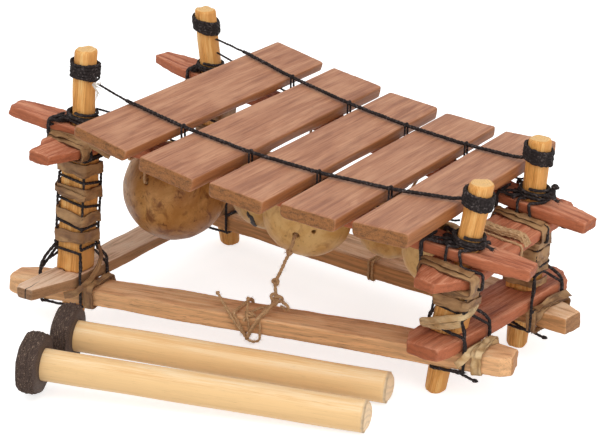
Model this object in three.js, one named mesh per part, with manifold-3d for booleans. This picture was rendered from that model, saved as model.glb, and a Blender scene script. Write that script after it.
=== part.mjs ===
// A small West African balafon: five wooden bars hung on cords over five gourd resonators,
// on a pegged and lashed frame of four posts and eight rails, with its pair of mallets.
// Millimetres. +X runs along the frame from the tall bass end to the low treble end,
// +Y runs to the rear, +Z is up, and the floor is at Z = 0.
import * as THREE from 'three';
import { mergeVertices } from 'three/addons/utils/BufferGeometryUtils.js';
import Module from 'manifold-3d';

const wasm = await Module();
wasm.setup();

// Clearances
const FIT = 0.3;
const CORD_GAP = 0.3;
// A rounded corner takes at most this share of the straight run beside it.
const LONGEST_BEND_SHARE = 0.45;

// Plan of the frame, at the floor
const FRAME_LENGTH = 246;
const LEFT_SPAN = 173;
const RIGHT_SPAN = 88;
const RIGHT_SET_BACK = 42;
const REAR_LEFT_OFFSET = 9;
const REAR_RIGHT_OFFSET = 13;

// Posts
const POST_DIAMETER = 15;
const POST_FOOT_DIAMETER = 13.5;
const POST_SIDES = 14;
const BLOCK_WIDTH = 19;
const BLOCK_DEPTH = 17;
const BLOCK_CHAMFER = 1.6;
const FRONT_LEFT_HEIGHT = 183;
const REAR_LEFT_HEIGHT = 174.5;
const FRONT_RIGHT_HEIGHT = 137.5;
const REAR_RIGHT_HEIGHT = 140.5;
const POST_TAPER_BELOW_RAIL = 2;
const POST_FOOT_EDGE = [0.9, 1.4];
const POST_TOP_EDGE = [1, 1.8];
// How far each post leans over its height, to the treble end and to the rear
const FRONT_LEFT_LEAN = [7, 12];
const REAR_LEFT_LEAN = [-15, -11];
const FRONT_RIGHT_LEAN = [22, 4];
const REAR_RIGHT_LEAN = [6, 2];
// From each post's top to the middle of the cord wound near it
const FRONT_LEFT_WINDING_DROP = 13;
const REAR_LEFT_WINDING_DROP = 11;
const RIGHT_WINDING_DROP = 10;

// Lower frame: two long rails with two crosspieces lying on them
const LOWER_LEFT_UNDERSIDE = 17.5;
const LOWER_RIGHT_UNDERSIDE = 21.5;
const LOWER_RAIL_THICKNESS = 11.5;
const LOWER_RAIL_WIDTH = 24;
const LOWER_REAR_RAIL_WIDTH = 34;
const LOWER_CROSS_THICKNESS = 8;
const LOWER_LEFT_CROSS_WIDTH = 24;
const LOWER_RIGHT_CROSS_WIDTH = 33;

// Upper frame: two crosspieces on the posts' shoulders with two long rails on them
const UPPER_RAIL_WIDTH = 24;
const UPPER_RAIL_THICKNESS = 7.5;
const UPPER_CROSS_THICKNESS = 7.5;
const UPPER_LEFT_CROSS_WIDTH = 26;
const UPPER_RIGHT_CROSS_WIDTH = 34;
const FRONT_LEFT_ABOVE_RAIL = 48;
const REAR_LEFT_ABOVE_RAIL = 46;
const FRONT_RIGHT_ABOVE_RAIL = 40.5;
const REAR_RIGHT_ABOVE_RAIL = 39.5;
const BOARD_EDGE = 0.8;
// The rails cross off the square: each edge moves by up to this share of the other's width.
const SKEW_SHARE = 0.35;

// How far the rails run past the posts
const LOWER_FRONT_OVERHANGS = [43, 46];
const LOWER_REAR_OVERHANGS = [15, 41];
const LOWER_LEFT_OVERHANGS = [45, 36];
const LOWER_RIGHT_OVERHANGS = [30, 39];
const UPPER_LONG_OVERHANGS = [50, 42];
const UPPER_LEFT_OVERHANGS = [45, 36];
const UPPER_RIGHT_OVERHANGS = [38, 31];

// How the boards' corners are cut: length along the board and depth across it
const LOWER_FRONT_CUTS = { startRight: [8, 3], endRight: [7, 4], endLeft: [16, 6], startLeft: [13, 5] };
const LOWER_REAR_CUTS = { startRight: [10, 4], endRight: [90, 7], endLeft: [30, 11], startLeft: [12, 5] };
const LOWER_LEFT_CUTS = { startRight: [30, 10], endRight: [9, 3], endLeft: [14, 5], startLeft: [4, 2] };
const LOWER_RIGHT_CUTS = { startRight: [10, 3], endRight: [12, 9], endLeft: [6, 3], startLeft: [14, 8] };
const UPPER_LONG_CUTS = { startRight: [26, 5], endRight: [30, 5], endLeft: [18, 4], startLeft: [30, 5] };
const UPPER_LEFT_CUTS = { startRight: [24, 6], endRight: [20, 6], endLeft: [12, 5], startLeft: [20, 5] };
const UPPER_RIGHT_CUTS = { startRight: [22, 15], endRight: [6, 5], endLeft: [14, 11], startLeft: [20, 6] };
// The scoop in one corner of the upper left crosspiece turns here.
const SCOOP_TURN = [15, 7];
const SCOOP_STEPS = 5;

// Bars: the deck hangs in a shallow curve, lowest near the treble end
const BAR_LENGTHS = [231, 228, 219.5, 208.5, 200];
const BAR_WIDTHS = [41.2, 41.3, 39.4, 39.3, 38.4];
const BAR_THICKNESSES = [8, 9.8, 9.5, 9, 9.8];
const BAR_SPACING = 6.8;
const BAR_EDGE_ROUND = 1.6;
const BAR_UNDER_ROUND = 3.2;
const BAR_ARCH_DEPTH = 2.4;
const BAR_ARCH_SHARE = 0.42;
const BAR_ARCH_STEPS = 8;
const BAR_ROUND_STEPS = 3;
const CUTTER_OVERLAP = 2;
const DECK_START = 30;
const DECK_FORWARD = 2.75;
const DECK_MIDLINE = (LEFT_SPAN + 2 * RIGHT_SET_BACK + RIGHT_SPAN) / 4 - DECK_FORWARD;
const DECK_LOW_AT = 236;
const DECK_SAG = 6.75;
const DECK_ABOVE_RAIL_AT_START = 17.98;
const DECK_ABOVE_RAIL_AT_LOW = 18.47;

// Cords, straps and twine
const TOP_CORD_DIAMETER = 2.4;
const CORD_STOP = 6;
const UNDER_CORD_DIAMETER = 1.6;
const UNDER_CORD_START = 2.5;
const UNDER_CORD_END = 1;
const UNDER_CORD_CLIMB = 4.5;
const UNDER_CORD_EXTRA = 0.1;
const LASHING_DIAMETER = 2.2;
const LASHING_SLACK = 0.6;
const LASHING_BEND = 2.2;
// Heights of the lower lashing's ring round the block, falling from its start at the bass side
const LASHING_RING_HEIGHTS = [9, 8.5, 7.5, 6.5, 5.5];
const LASHING_RING_GAP = 0.4;
const LASHING_STEP = 0.6;
const LASHING_TURNS = 2.5;
const TURN_STEPS = 12;
const WINDING_DIAMETER = 2.2;
const WINDING_PITCH = 2.7;
const WINDING_TURNS = 5;
const WINDING_TILT = 0.08;
const TWINE_DIAMETER = 1.6;
const STRIP_WIDTH = 8.5;
const STRIP_THICKNESS = 1.3;
const STRAP_WIDTH = 9.5;
const STRAP_THICKNESS = 1.5;
const BINDING_FROM_JOINT = 13;
const LEFT_BINDING = { share: 1, turns: 4 };
const RIGHT_BINDING = { share: 0.8, turns: 2 };
// Where a cord crosses the deck, seen from above: a line with a slight bow
const FRONT_CORD_LINE = { at: 30, y: 21, slope: 0.068, bow: 0.000314, bowFrom: 96 };
const REAR_CORD_LINE = { at: 31, y: 156, slope: -0.1036, bow: 0, bowFrom: 0 };
const TOP_CORD_REST = 0.15;
const TOP_CORD_BEND = 1.5;
const UNDER_CORD_BEND = 1.2;

// Gourds, from the bass end: radius, rim above the centre, and the centre's place from the bar's
// middle (to the treble end and to the rear) and below the deck
const GOURD_WALL = 3;
const GOURD_RADII = [34, 28, 29, 23.3, 21];
const GOURD_RIMS = [25, 20, 19, 17, 16];
const GOURD_SIDE_SHIFTS = [-10, -10.3, -6.3, -12.3, -14.3];
const GOURD_BACK_SHIFTS = [-23.5, 22.5, -15.5, 20.5, 0.5];
const GOURD_DROPS = [63.7, 58.4, 43.4, 49.7, 51.7];
const GOURD_NUB = 1.4;
const GOURD_NUB_EDGE = 0.9;
const GOURD_NUB_SHARE = 0.07;
const GOURD_SEGMENTS = 18;
const GOURD_OUTER_STEPS = 9;
const GOURD_INNER_STEPS = 6;
const BORE_SIDES = 8;

// Twine: turn and rise, in degrees, say where it leaves the gourd
const TWINE_BEND = 2;
const TWINE_STEP = 0.9;
const HANGER_TURNS = [-90, 90, -62, 90, 0];
const HANGER_RISES = [22, 30, 22, 30, 35];
const HANGER_SHIFTS = [-4, 4, 10, 4, -4];
const FRONT_TIE = { at: 122, diameter: 2.4, turn: -75, rise: -13, bends: [[0.12, 7], [0.5, 5], [0.8, 2]] };
const REAR_TIE = { at: 145.5, diameter: 1.8, turn: 143, rise: -41, bends: [] };
const TIE_STEP = 1.2;

// Mallets
const STICK_DIAMETER = 20;
const STICK_LENGTH = 212;
const MALLET_HEAD_DIAMETER = 42;
const MALLET_HEAD_THICKNESS = 13;
const STICK_EDGE = 0.8;
const STICK_END_LENGTH = 2.4;
const STICK_END_DEPTH = 1.6;
const STICK_SHORT_OF_HEAD = 0.6;
const HEAD_RIDGES = 4;
const HEAD_RIDGE_DEPTH = 0.6;
const HEAD_CROWN = 1.6;
const HEAD_EDGE = 4;
const HEAD_RIM_EDGE = 2;
const MALLET_SIDES = 20;
const FLOOR_CLEARANCE = 0.02;
const FRONT_MALLET_AT = [48.7, -99];
const REAR_MALLET_AT = [39.8, -55.4];
const FRONT_MALLET_TURN = 19.5;
const REAR_MALLET_TURN = 18.6;

const WOOD_PALE = { color: 0xdfa85e, roughness: 0.6, metalness: 0 };
const WOOD_BAR = { color: 0xb97d5f, roughness: 0.5, metalness: 0 };
const WOOD_RED = { color: 0xa8553c, roughness: 0.6, metalness: 0 };
const WOOD_TAN = { color: 0xc48c5f, roughness: 0.65, metalness: 0 };
const WOOD_GREY = { color: 0xab8264, roughness: 0.7, metalness: 0 };
const GOURD_BROWN = { color: 0xa06e32, roughness: 0.35, metalness: 0 };
const GOURD_CREAM = { color: 0xd8b077, roughness: 0.4, metalness: 0 };
const BLACK_CORD = { color: 0x231c1c, roughness: 0.9, metalness: 0 };
const RAWHIDE = { color: 0x9a7048, roughness: 0.7, metalness: 0 };
const JUTE = { color: 0x96734b, roughness: 0.95, metalness: 0 };
const STICK_WOOD = { color: 0xf0c88c, roughness: 0.5, metalness: 0 };
const RUBBER = { color: 0x3c2e2b, roughness: 0.9, metalness: 0 };

const model = new THREE.Group();
const windingGaps = [];

// Helpers for meshes and solids

function addMesh(name, geometry, look) {
  const mesh = new THREE.Mesh(geometry, new THREE.MeshStandardMaterial(look));
  mesh.name = name;
  model.add(mesh);
  return mesh;
}

function toSolid(geometry) {
  const bare = geometry.clone();
  bare.deleteAttribute('normal');
  bare.deleteAttribute('uv');
  const merged = mergeVertices(bare, 1e-4);
  return new wasm.Manifold(new wasm.Mesh({
    numProp: 3,
    vertProperties: new Float32Array(merged.attributes.position.array),
    triVerts: new Uint32Array(merged.index.array),
  }));
}

function toGeometry(solid) {
  const mesh = solid.getMesh();
  const geometry = new THREE.BufferGeometry();
  geometry.setAttribute('position', new THREE.BufferAttribute(mesh.vertProperties, 3));
  geometry.setIndex(new THREE.BufferAttribute(mesh.triVerts, 1));
  geometry.computeVertexNormals();
  return geometry;
}

// Rings of equal size joined into one closed body, with a flat cap at each end.
function skin(rings) {
  const sides = rings[0].length;
  const positions = rings.flat().flatMap((p) => [p.x, p.y, p.z]);
  const faces = [];
  for (let i = 0; i + 1 < rings.length; i += 1) {
    for (let j = 0; j < sides; j += 1) {
      const a = i * sides + j;
      const b = i * sides + (j + 1) % sides;
      faces.push(a, b, b + sides, a, b + sides, a + sides);
    }
  }
  const last = (rings.length - 1) * sides;
  for (let j = 1; j + 1 < sides; j += 1) {
    faces.push(0, j + 1, j);
    faces.push(last, last + j, last + j + 1);
  }
  const geometry = new THREE.BufferGeometry();
  geometry.setAttribute('position', new THREE.Float32BufferAttribute(positions, 3));
  geometry.setIndex(faces);
  geometry.computeVertexNormals();
  return geometry;
}

// A round cord through the given points, its section carried along without twist.
function cordAlong(points, diameter, sides) {
  const rings = [];
  let side = null;
  points.forEach((point, i) => {
    const before = points[Math.max(i - 1, 0)];
    const after = points[Math.min(i + 1, points.length - 1)];
    const along = new THREE.Vector3().subVectors(after, before).normalize();
    if (side === null) {
      const steep = Math.abs(along.z) >= 0.9;
      side = new THREE.Vector3().crossVectors(along, new THREE.Vector3(steep ? 1 : 0, 0, steep ? 0 : 1));
    }
    side.addScaledVector(along, -side.dot(along)).normalize();
    const up = new THREE.Vector3().crossVectors(along, side);
    const ring = [];
    for (let k = 0; k < sides; k += 1) {
      const angle = 2 * Math.PI * k / sides;
      ring.push(point.clone()
        .addScaledVector(side, Math.cos(angle) * diameter / 2)
        .addScaledVector(up, Math.sin(angle) * diameter / 2));
    }
    rings.push(ring);
  });
  return skin(rings);
}

// Corners joined by straight runs, each corner rounded by a short curve.
function roundedRoute(corners, bend, steps) {
  const route = [corners[0].clone()];
  for (let i = 1; i + 1 < corners.length; i += 1) {
    const corner = corners[i];
    const back = new THREE.Vector3().subVectors(corners[i - 1], corner);
    const ahead = new THREE.Vector3().subVectors(corners[i + 1], corner);
    const backBend = Math.min(bend, back.length() * LONGEST_BEND_SHARE);
    const aheadBend = Math.min(bend, ahead.length() * LONGEST_BEND_SHARE);
    const start = corner.clone().addScaledVector(back.normalize(), backBend);
    const end = corner.clone().addScaledVector(ahead.normalize(), aheadBend);
    const curve = new THREE.QuadraticBezierCurve3(start, corner, end);
    for (let k = 0; k <= steps; k += 1) {
      route.push(curve.getPoint(k / steps));
    }
  }
  route.push(corners[corners.length - 1].clone());
  return route;
}

// Least distance between stretches of a route that are more than a few diameters apart along it.
function leastGap(route, diameter) {
  const fine = [];
  for (let i = 0; i + 1 < route.length; i += 1) {
    const pieces = Math.max(1, Math.ceil(route[i].distanceTo(route[i + 1]) / 0.8));
    for (let k = 0; k < pieces; k += 1) {
      fine.push(route[i].clone().lerp(route[i + 1], k / pieces));
    }
  }
  const travelled = [0];
  for (let i = 1; i < fine.length; i += 1) {
    travelled.push(travelled[i - 1] + fine[i].distanceTo(fine[i - 1]));
  }
  let least = Infinity;
  for (let i = 0; i < fine.length; i += 1) {
    for (let j = i + 1; j < fine.length; j += 1) {
      if (travelled[j] - travelled[i] > diameter * 4) {
        least = Math.min(least, fine[i].distanceTo(fine[j]));
      }
    }
  }
  return least - diameter;
}

function windingMesh(name, route, diameter, sides, look) {
  windingGaps.push(name + ' ' + leastGap(route, diameter).toFixed(2));
  return addMesh(name, cordAlong(route, diameter, sides), look);
}

// Posts

function makePost(name, x, y, lean, height, aboveRail, lowerRail, windingDrop) {
  const [leanX, leanY] = lean;
  return { name, x, y, leanX, leanY, height, railTop: height - aboveRail, lowerRail, windingDrop };
}

const frontLeft = makePost('front_left', 0, 0, FRONT_LEFT_LEAN,
  FRONT_LEFT_HEIGHT, FRONT_LEFT_ABOVE_RAIL, LOWER_LEFT_UNDERSIDE, FRONT_LEFT_WINDING_DROP);
const rearLeft = makePost('rear_left', REAR_LEFT_OFFSET, LEFT_SPAN, REAR_LEFT_LEAN,
  REAR_LEFT_HEIGHT, REAR_LEFT_ABOVE_RAIL, LOWER_LEFT_UNDERSIDE, REAR_LEFT_WINDING_DROP);
const frontRight = makePost('front_right', FRAME_LENGTH, RIGHT_SET_BACK, FRONT_RIGHT_LEAN,
  FRONT_RIGHT_HEIGHT, FRONT_RIGHT_ABOVE_RAIL, LOWER_RIGHT_UNDERSIDE, RIGHT_WINDING_DROP);
const rearRight = makePost(
  'rear_right', FRAME_LENGTH + REAR_RIGHT_OFFSET, RIGHT_SET_BACK + RIGHT_SPAN, REAR_RIGHT_LEAN,
  REAR_RIGHT_HEIGHT, REAR_RIGHT_ABOVE_RAIL, LOWER_RIGHT_UNDERSIDE, RIGHT_WINDING_DROP);
const posts = [frontLeft, frontRight, rearRight, rearLeft];

// The post's own axis leans, so its centre at a height is a little way along the lean.
function axisAt(post, z) {
  return new THREE.Vector3(post.x + post.leanX * z / post.height, post.y + post.leanY * z / post.height, z);
}

function leanWith(post, geometry) {
  const lean = new THREE.Matrix4().makeShear(0, 0, 0, 0, post.leanX / post.height, post.leanY / post.height);
  lean.premultiply(new THREE.Matrix4().makeTranslation(post.x, post.y, 0));
  return geometry.applyMatrix4(lean);
}

function roundPost(post, extra) {
  const radius = POST_DIAMETER / 2 + extra;
  const foot = POST_FOOT_DIAMETER / 2 + extra;
  const profile = [
    new THREE.Vector2(0, 0),
    new THREE.Vector2(foot - POST_FOOT_EDGE[0], 0),
    new THREE.Vector2(foot, POST_FOOT_EDGE[1]),
    new THREE.Vector2(radius, LOWER_LEFT_UNDERSIDE - POST_TAPER_BELOW_RAIL),
    new THREE.Vector2(radius, post.height - POST_TOP_EDGE[1]),
    new THREE.Vector2(radius - POST_TOP_EDGE[0], post.height),
    new THREE.Vector2(0, post.height),
  ];
  const lathe = new THREE.LatheGeometry(profile, POST_SIDES);
  lathe.rotateX(Math.PI / 2);
  return leanWith(post, lathe);
}

// Boards: every rail is one, placed by the two posts that it joins

// A board's frame: origin at the centre of its underside at the first post, s along it,
// w across it and n out of its top face.
function boardPlace(from, to, acrossSlope) {
  const along = new THREE.Vector3().subVectors(to, from);
  const span = along.length();
  along.normalize();
  const level = new THREE.Vector3(-along.y, along.x, 0).normalize();
  const across = level.clone().add(new THREE.Vector3(0, 0, acrossSlope)).normalize();
  across.addScaledVector(along, -across.dot(along)).normalize();
  const up = new THREE.Vector3().crossVectors(along, across);
  return { origin: from.clone(), along, across, up, span };
}

function inBoard(place, s, w, n) {
  return place.origin.clone()
    .addScaledVector(place.along, s)
    .addScaledVector(place.across, w)
    .addScaledVector(place.up, n);
}

// Height of the board's plane, n above its underside, over a point of the floor.
function planeHeight(place, n, x, y) {
  const p = inBoard(place, 0, 0, n);
  return p.z - (place.up.x * (x - p.x) + place.up.y * (y - p.y)) / place.up.z;
}

function boardSolid(place, outline, thickness, borePosts) {
  const shape = new THREE.Shape(outline.map(([s, w]) => new THREE.Vector2(s, w)));
  const slab = new THREE.ExtrudeGeometry(shape, {
    depth: thickness - 2 * BOARD_EDGE,
    steps: 1,
    bevelEnabled: true,
    bevelSegments: 1,
    bevelSize: BOARD_EDGE,
    bevelThickness: BOARD_EDGE,
    bevelOffset: -BOARD_EDGE,
    curveSegments: 6,
  });
  slab.translate(0, 0, BOARD_EDGE);
  const matrix = new THREE.Matrix4().makeBasis(place.along, place.across, place.up);
  matrix.setPosition(place.origin);
  slab.applyMatrix4(matrix);
  let solid = toSolid(slab);
  for (const post of borePosts) {
    solid = solid.subtract(toSolid(roundPost(post, FIT)));
  }
  return solid;
}

// A plain board outline whose ends narrow: taper gives how long and how deep each corner is cut.
function taperedOutline(start, end, half, cuts) {
  return [
    [start, -half + cuts.startRight[1]],
    [start + cuts.startRight[0], -half],
    [end - cuts.endRight[0], -half],
    [end, -half + cuts.endRight[1]],
    [end, half - cuts.endLeft[1]],
    [end - cuts.endLeft[0], half],
    [start + cuts.startLeft[0], half],
    [start, half - cuts.startLeft[1]],
  ];
}

// Lower frame

function slopeOf(place) {
  return place.along.z / Math.hypot(place.along.x, place.along.y);
}

function lowerLongPlace(first, second) {
  return boardPlace(axisAt(first, first.lowerRail), axisAt(second, second.lowerRail), 0);
}

const lowerFrontPlace = lowerLongPlace(frontLeft, frontRight);
const lowerRearPlace = lowerLongPlace(rearLeft, rearRight);

// The crosspieces lie flat on both long rails, whose slopes are alike.
function lowerCrossPlace(front, rear) {
  const seat = (post, rail) => {
    const at = axisAt(post, post.lowerRail + LOWER_RAIL_THICKNESS);
    return axisAt(post, planeHeight(rail, LOWER_RAIL_THICKNESS, at.x, at.y) + FIT);
  };
  const slope = (slopeOf(lowerFrontPlace) + slopeOf(lowerRearPlace)) / 2;
  return boardPlace(seat(front, lowerFrontPlace), seat(rear, lowerRearPlace), -slope);
}

const lowerLeftPlace = lowerCrossPlace(frontLeft, rearLeft);
const lowerRightPlace = lowerCrossPlace(frontRight, rearRight);

// A board that runs past its two posts by the overhangs, bored for both.
function addBoard(name, place, width, thickness, overhangs, cuts, bores, look) {
  const outline = taperedOutline(-overhangs[0], place.span + overhangs[1], width / 2, cuts);
  addMesh(name, toGeometry(boardSolid(place, outline, thickness, bores)), look);
}

function buildLowerFrame() {
  addBoard('lower_front_rail', lowerFrontPlace, LOWER_RAIL_WIDTH, LOWER_RAIL_THICKNESS,
    LOWER_FRONT_OVERHANGS, LOWER_FRONT_CUTS, [frontLeft, frontRight], WOOD_TAN);
  addBoard('lower_rear_rail', lowerRearPlace, LOWER_REAR_RAIL_WIDTH, LOWER_RAIL_THICKNESS,
    LOWER_REAR_OVERHANGS, LOWER_REAR_CUTS, [rearLeft, rearRight], WOOD_GREY);
  addBoard('lower_left_crosspiece', lowerLeftPlace, LOWER_LEFT_CROSS_WIDTH, LOWER_CROSS_THICKNESS,
    LOWER_LEFT_OVERHANGS, LOWER_LEFT_CUTS, [frontLeft, rearLeft], WOOD_GREY);
  addBoard('lower_right_crosspiece', lowerRightPlace, LOWER_RIGHT_CROSS_WIDTH, LOWER_CROSS_THICKNESS,
    LOWER_RIGHT_OVERHANGS, LOWER_RIGHT_CUTS, [frontRight, rearRight], WOOD_RED);
}

// Upper frame

function upperLongPlace(first, second) {
  const run = axisAt(first, first.railTop).setZ(0).distanceTo(axisAt(second, second.railTop).setZ(0));
  const slope = (second.railTop - first.railTop) / run;
  const drop = UPPER_RAIL_THICKNESS * Math.hypot(1, slope);
  return boardPlace(axisAt(first, first.railTop - drop), axisAt(second, second.railTop - drop), 0);
}

const upperFrontPlace = upperLongPlace(frontLeft, frontRight);
const upperRearPlace = upperLongPlace(rearLeft, rearRight);

// The crosspieces lie under rails of two slopes, so they take the mean slope and
// drop by what the difference needs, and the nearest corners meet at the clearance.
function upperCrossPlace(front, rear, width) {
  const frontSlope = slopeOf(upperFrontPlace);
  const rearSlope = slopeOf(upperRearPlace);
  const meanSlope = (frontSlope + rearSlope) / 2;
  const crossSlope = Math.abs(rear.railTop - front.railTop) / (rear.y - front.y);
  const acrossReach = width / 2 + SKEW_SHARE * UPPER_RAIL_WIDTH / 2;
  const alongReach = UPPER_RAIL_WIDTH / 2 + SKEW_SHARE * width / 2;
  const allowance = FIT + Math.abs(frontSlope - rearSlope) / 2 * acrossReach + crossSlope * alongReach;
  const seat = (post, rail) => {
    const at = axisAt(post, post.railTop - UPPER_RAIL_THICKNESS);
    const drop = allowance + UPPER_CROSS_THICKNESS * Math.hypot(1, meanSlope);
    return axisAt(post, planeHeight(rail, 0, at.x, at.y) - drop);
  };
  return boardPlace(seat(front, upperFrontPlace), seat(rear, upperRearPlace), -meanSlope);
}

const upperLeftPlace = upperCrossPlace(frontLeft, rearLeft, UPPER_LEFT_CROSS_WIDTH);
const upperRightPlace = upperCrossPlace(frontRight, rearRight, UPPER_RIGHT_CROSS_WIDTH);

function isLeft(post) {
  return post === frontLeft || post === rearLeft;
}

function isFront(post) {
  return post === frontLeft || post === frontRight;
}

// The boards that cross at a post, with the sizes that lashings go round.
function lowerJoint(post) {
  return {
    post,
    long: isFront(post) ? lowerFrontPlace : lowerRearPlace,
    longHalf: (isFront(post) ? LOWER_RAIL_WIDTH : LOWER_REAR_RAIL_WIDTH) / 2,
    longThickness: LOWER_RAIL_THICKNESS,
    cross: isLeft(post) ? lowerLeftPlace : lowerRightPlace,
    crossHalf: (isLeft(post) ? LOWER_LEFT_CROSS_WIDTH : LOWER_RIGHT_CROSS_WIDTH) / 2,
    crossThickness: LOWER_CROSS_THICKNESS,
  };
}

function upperJoint(post) {
  return {
    post,
    long: isFront(post) ? upperFrontPlace : upperRearPlace,
    longHalf: UPPER_RAIL_WIDTH / 2,
    longThickness: UPPER_RAIL_THICKNESS,
    cross: isLeft(post) ? upperLeftPlace : upperRightPlace,
    crossHalf: (isLeft(post) ? UPPER_LEFT_CROSS_WIDTH : UPPER_RIGHT_CROSS_WIDTH) / 2,
    crossThickness: UPPER_CROSS_THICKNESS,
  };
}

function buildUpperFrame() {
  addBoard('upper_front_rail', upperFrontPlace, UPPER_RAIL_WIDTH, UPPER_RAIL_THICKNESS,
    UPPER_LONG_OVERHANGS, UPPER_LONG_CUTS, [frontLeft, frontRight], WOOD_RED);
  addBoard('upper_rear_rail', upperRearPlace, UPPER_RAIL_WIDTH, UPPER_RAIL_THICKNESS,
    UPPER_LONG_OVERHANGS, UPPER_LONG_CUTS, [rearLeft, rearRight], WOOD_RED);
  addBoard('upper_right_crosspiece', upperRightPlace, UPPER_RIGHT_CROSS_WIDTH, UPPER_CROSS_THICKNESS,
    UPPER_RIGHT_OVERHANGS, UPPER_RIGHT_CUTS, [frontRight, rearRight], WOOD_RED);
  buildUpperLeftCrosspiece();
}

// The near left corner of this board is scooped out in a short hollow curve.
function buildUpperLeftCrosspiece() {
  const half = UPPER_LEFT_CROSS_WIDTH / 2;
  const start = -UPPER_LEFT_OVERHANGS[0];
  const end = upperLeftPlace.span + UPPER_LEFT_OVERHANGS[1];
  const [scoopLength, scoopDepth] = UPPER_LEFT_CUTS.startLeft;
  const scoop = new THREE.QuadraticBezierCurve(
    new THREE.Vector2(start + scoopLength, half),
    new THREE.Vector2(start + SCOOP_TURN[0], half - SCOOP_TURN[1]),
    new THREE.Vector2(start, half - scoopDepth),
  );
  const outline = [
    ...taperedOutline(start, end, half, UPPER_LEFT_CUTS).slice(0, 6),
    ...scoop.getPoints(SCOOP_STEPS).map((p) => [p.x, p.y]),
  ];
  const solid = boardSolid(upperLeftPlace, outline, UPPER_CROSS_THICKNESS, [frontLeft, rearLeft]);
  addMesh('upper_left_crosspiece', toGeometry(solid), WOOD_RED);
}

// The block's eight-sided outline, off outside it, from the left end of its front face.
function blockOutline(off) {
  const a = BLOCK_WIDTH / 2 + off;
  const b = BLOCK_DEPTH / 2 + off;
  const c = BLOCK_CHAMFER + off / 2;
  return [
    [-a + c, -b], [a - c, -b], [a, -b + c], [a, b - c],
    [a - c, b], [-a + c, b], [-a, b - c], [-a, -b + c],
  ];
}

// Each post is round where it passes through the rails, with a square block between the
// shoulders on which the upper crosspiece rests and which stands on the lower one.
function postBlock(post) {
  const outline = blockOutline(0);
  const above = upperJoint(post).cross;
  const below = lowerJoint(post).cross;
  const ringAt = (level, place, n, lift) => outline.map(([x, y]) => {
    let corner = axisAt(post, level).add(new THREE.Vector3(x, y, 0));
    for (let pass = 0; pass < 3; pass += 1) {
      const z = planeHeight(place, n, corner.x, corner.y) + lift;
      corner = axisAt(post, z).add(new THREE.Vector3(x, y, 0));
    }
    return corner;
  });
  return skin([
    ringAt(post.lowerRail, below, LOWER_CROSS_THICKNESS, FIT),
    ringAt(post.railTop, above, 0, -FIT),
  ]);
}

function buildPosts() {
  for (const post of posts) {
    const solid = toSolid(roundPost(post, 0)).add(toSolid(postBlock(post)));
    addMesh(post.name + '_post', toGeometry(solid), WOOD_PALE);
  }
}

// Bars

// Height of the higher of the two long upper rails.
function higherRail(x) {
  const levels = [[frontLeft, frontRight], [rearLeft, rearRight]].map(([first, second]) => {
    const a = axisAt(first, first.railTop);
    const b = axisAt(second, second.railTop);
    return a.z + (b.z - a.z) * (x - a.x) / (b.x - a.x);
  });
  return Math.max(...levels);
}

// The deck clears the higher rail at each end and sags between them.
function deckHeight(x) {
  const high = higherRail(DECK_START) + DECK_ABOVE_RAIL_AT_START;
  const low = higherRail(DECK_LOW_AT) + DECK_ABOVE_RAIL_AT_LOW;
  const share = (x - DECK_START) / (DECK_LOW_AT - DECK_START);
  return high + (low - high) * share - 4 * DECK_SAG * share * (1 - share);
}

// The width of a bar is a chord of the deck's curve, so each bar is tilted by the chord's slope.
function placeBars() {
  const bars = [];
  let left = DECK_START;
  BAR_WIDTHS.forEach((width, i) => {
    let right = left + width;
    for (let pass = 0; pass < 6; pass += 1) {
      right = left + Math.sqrt(width ** 2 - (deckHeight(right) - deckHeight(left)) ** 2);
    }
    bars.push({
      name: 'bar_' + (i + 1),
      left,
      right,
      width,
      length: BAR_LENGTHS[i],
      thickness: BAR_THICKNESSES[i],
      tilt: Math.atan2(deckHeight(right) - deckHeight(left), right - left),
    });
    left = right + BAR_SPACING;
  });
  return bars;
}

const bars = placeBars();

function barTop(bar, x) {
  return deckHeight(bar.left) + (x - bar.left) * Math.tan(bar.tilt);
}

function barUnderside(bar, x) {
  return barTop(bar, x) - bar.thickness / Math.cos(bar.tilt);
}

// Cross-section of a bar, its top face at height 0.
function barSection(bar) {
  const w = bar.width / 2 - BOARD_EDGE;
  const t = bar.thickness;
  const e = BAR_EDGE_ROUND;
  const u = BAR_UNDER_ROUND;
  const section = new THREE.Shape();
  section.moveTo(-w + u, -t);
  section.lineTo(w - u, -t);
  section.quadraticCurveTo(w, -t, w, -t + u);
  section.lineTo(w, -e);
  section.quadraticCurveTo(w, 0, w - e, 0);
  section.lineTo(-w + e, 0);
  section.quadraticCurveTo(-w, 0, -w, -e);
  section.lineTo(-w, -t + u);
  section.quadraticCurveTo(-w, -t, -w + u, -t);
  return section;
}

// What the arch under the middle of a bar takes away.
function archCutter(bar) {
  const t = bar.thickness;
  const reach = bar.length * BAR_ARCH_SHARE / 2;
  const arch = new THREE.Shape();
  arch.moveTo(-reach, -t - 1);
  arch.lineTo(-reach, -t);
  arch.quadraticCurveTo(0, -t + 2 * BAR_ARCH_DEPTH, reach, -t);
  arch.lineTo(reach, -t - 1);
  const cutter = new THREE.ExtrudeGeometry(arch, {
    depth: bar.width + 2 * CUTTER_OVERLAP,
    steps: 1,
    bevelEnabled: false,
    curveSegments: BAR_ARCH_STEPS,
  });
  cutter.translate(0, 0, -bar.width / 2 - CUTTER_OVERLAP);
  cutter.rotateY(Math.PI / 2);
  return cutter;
}

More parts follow.
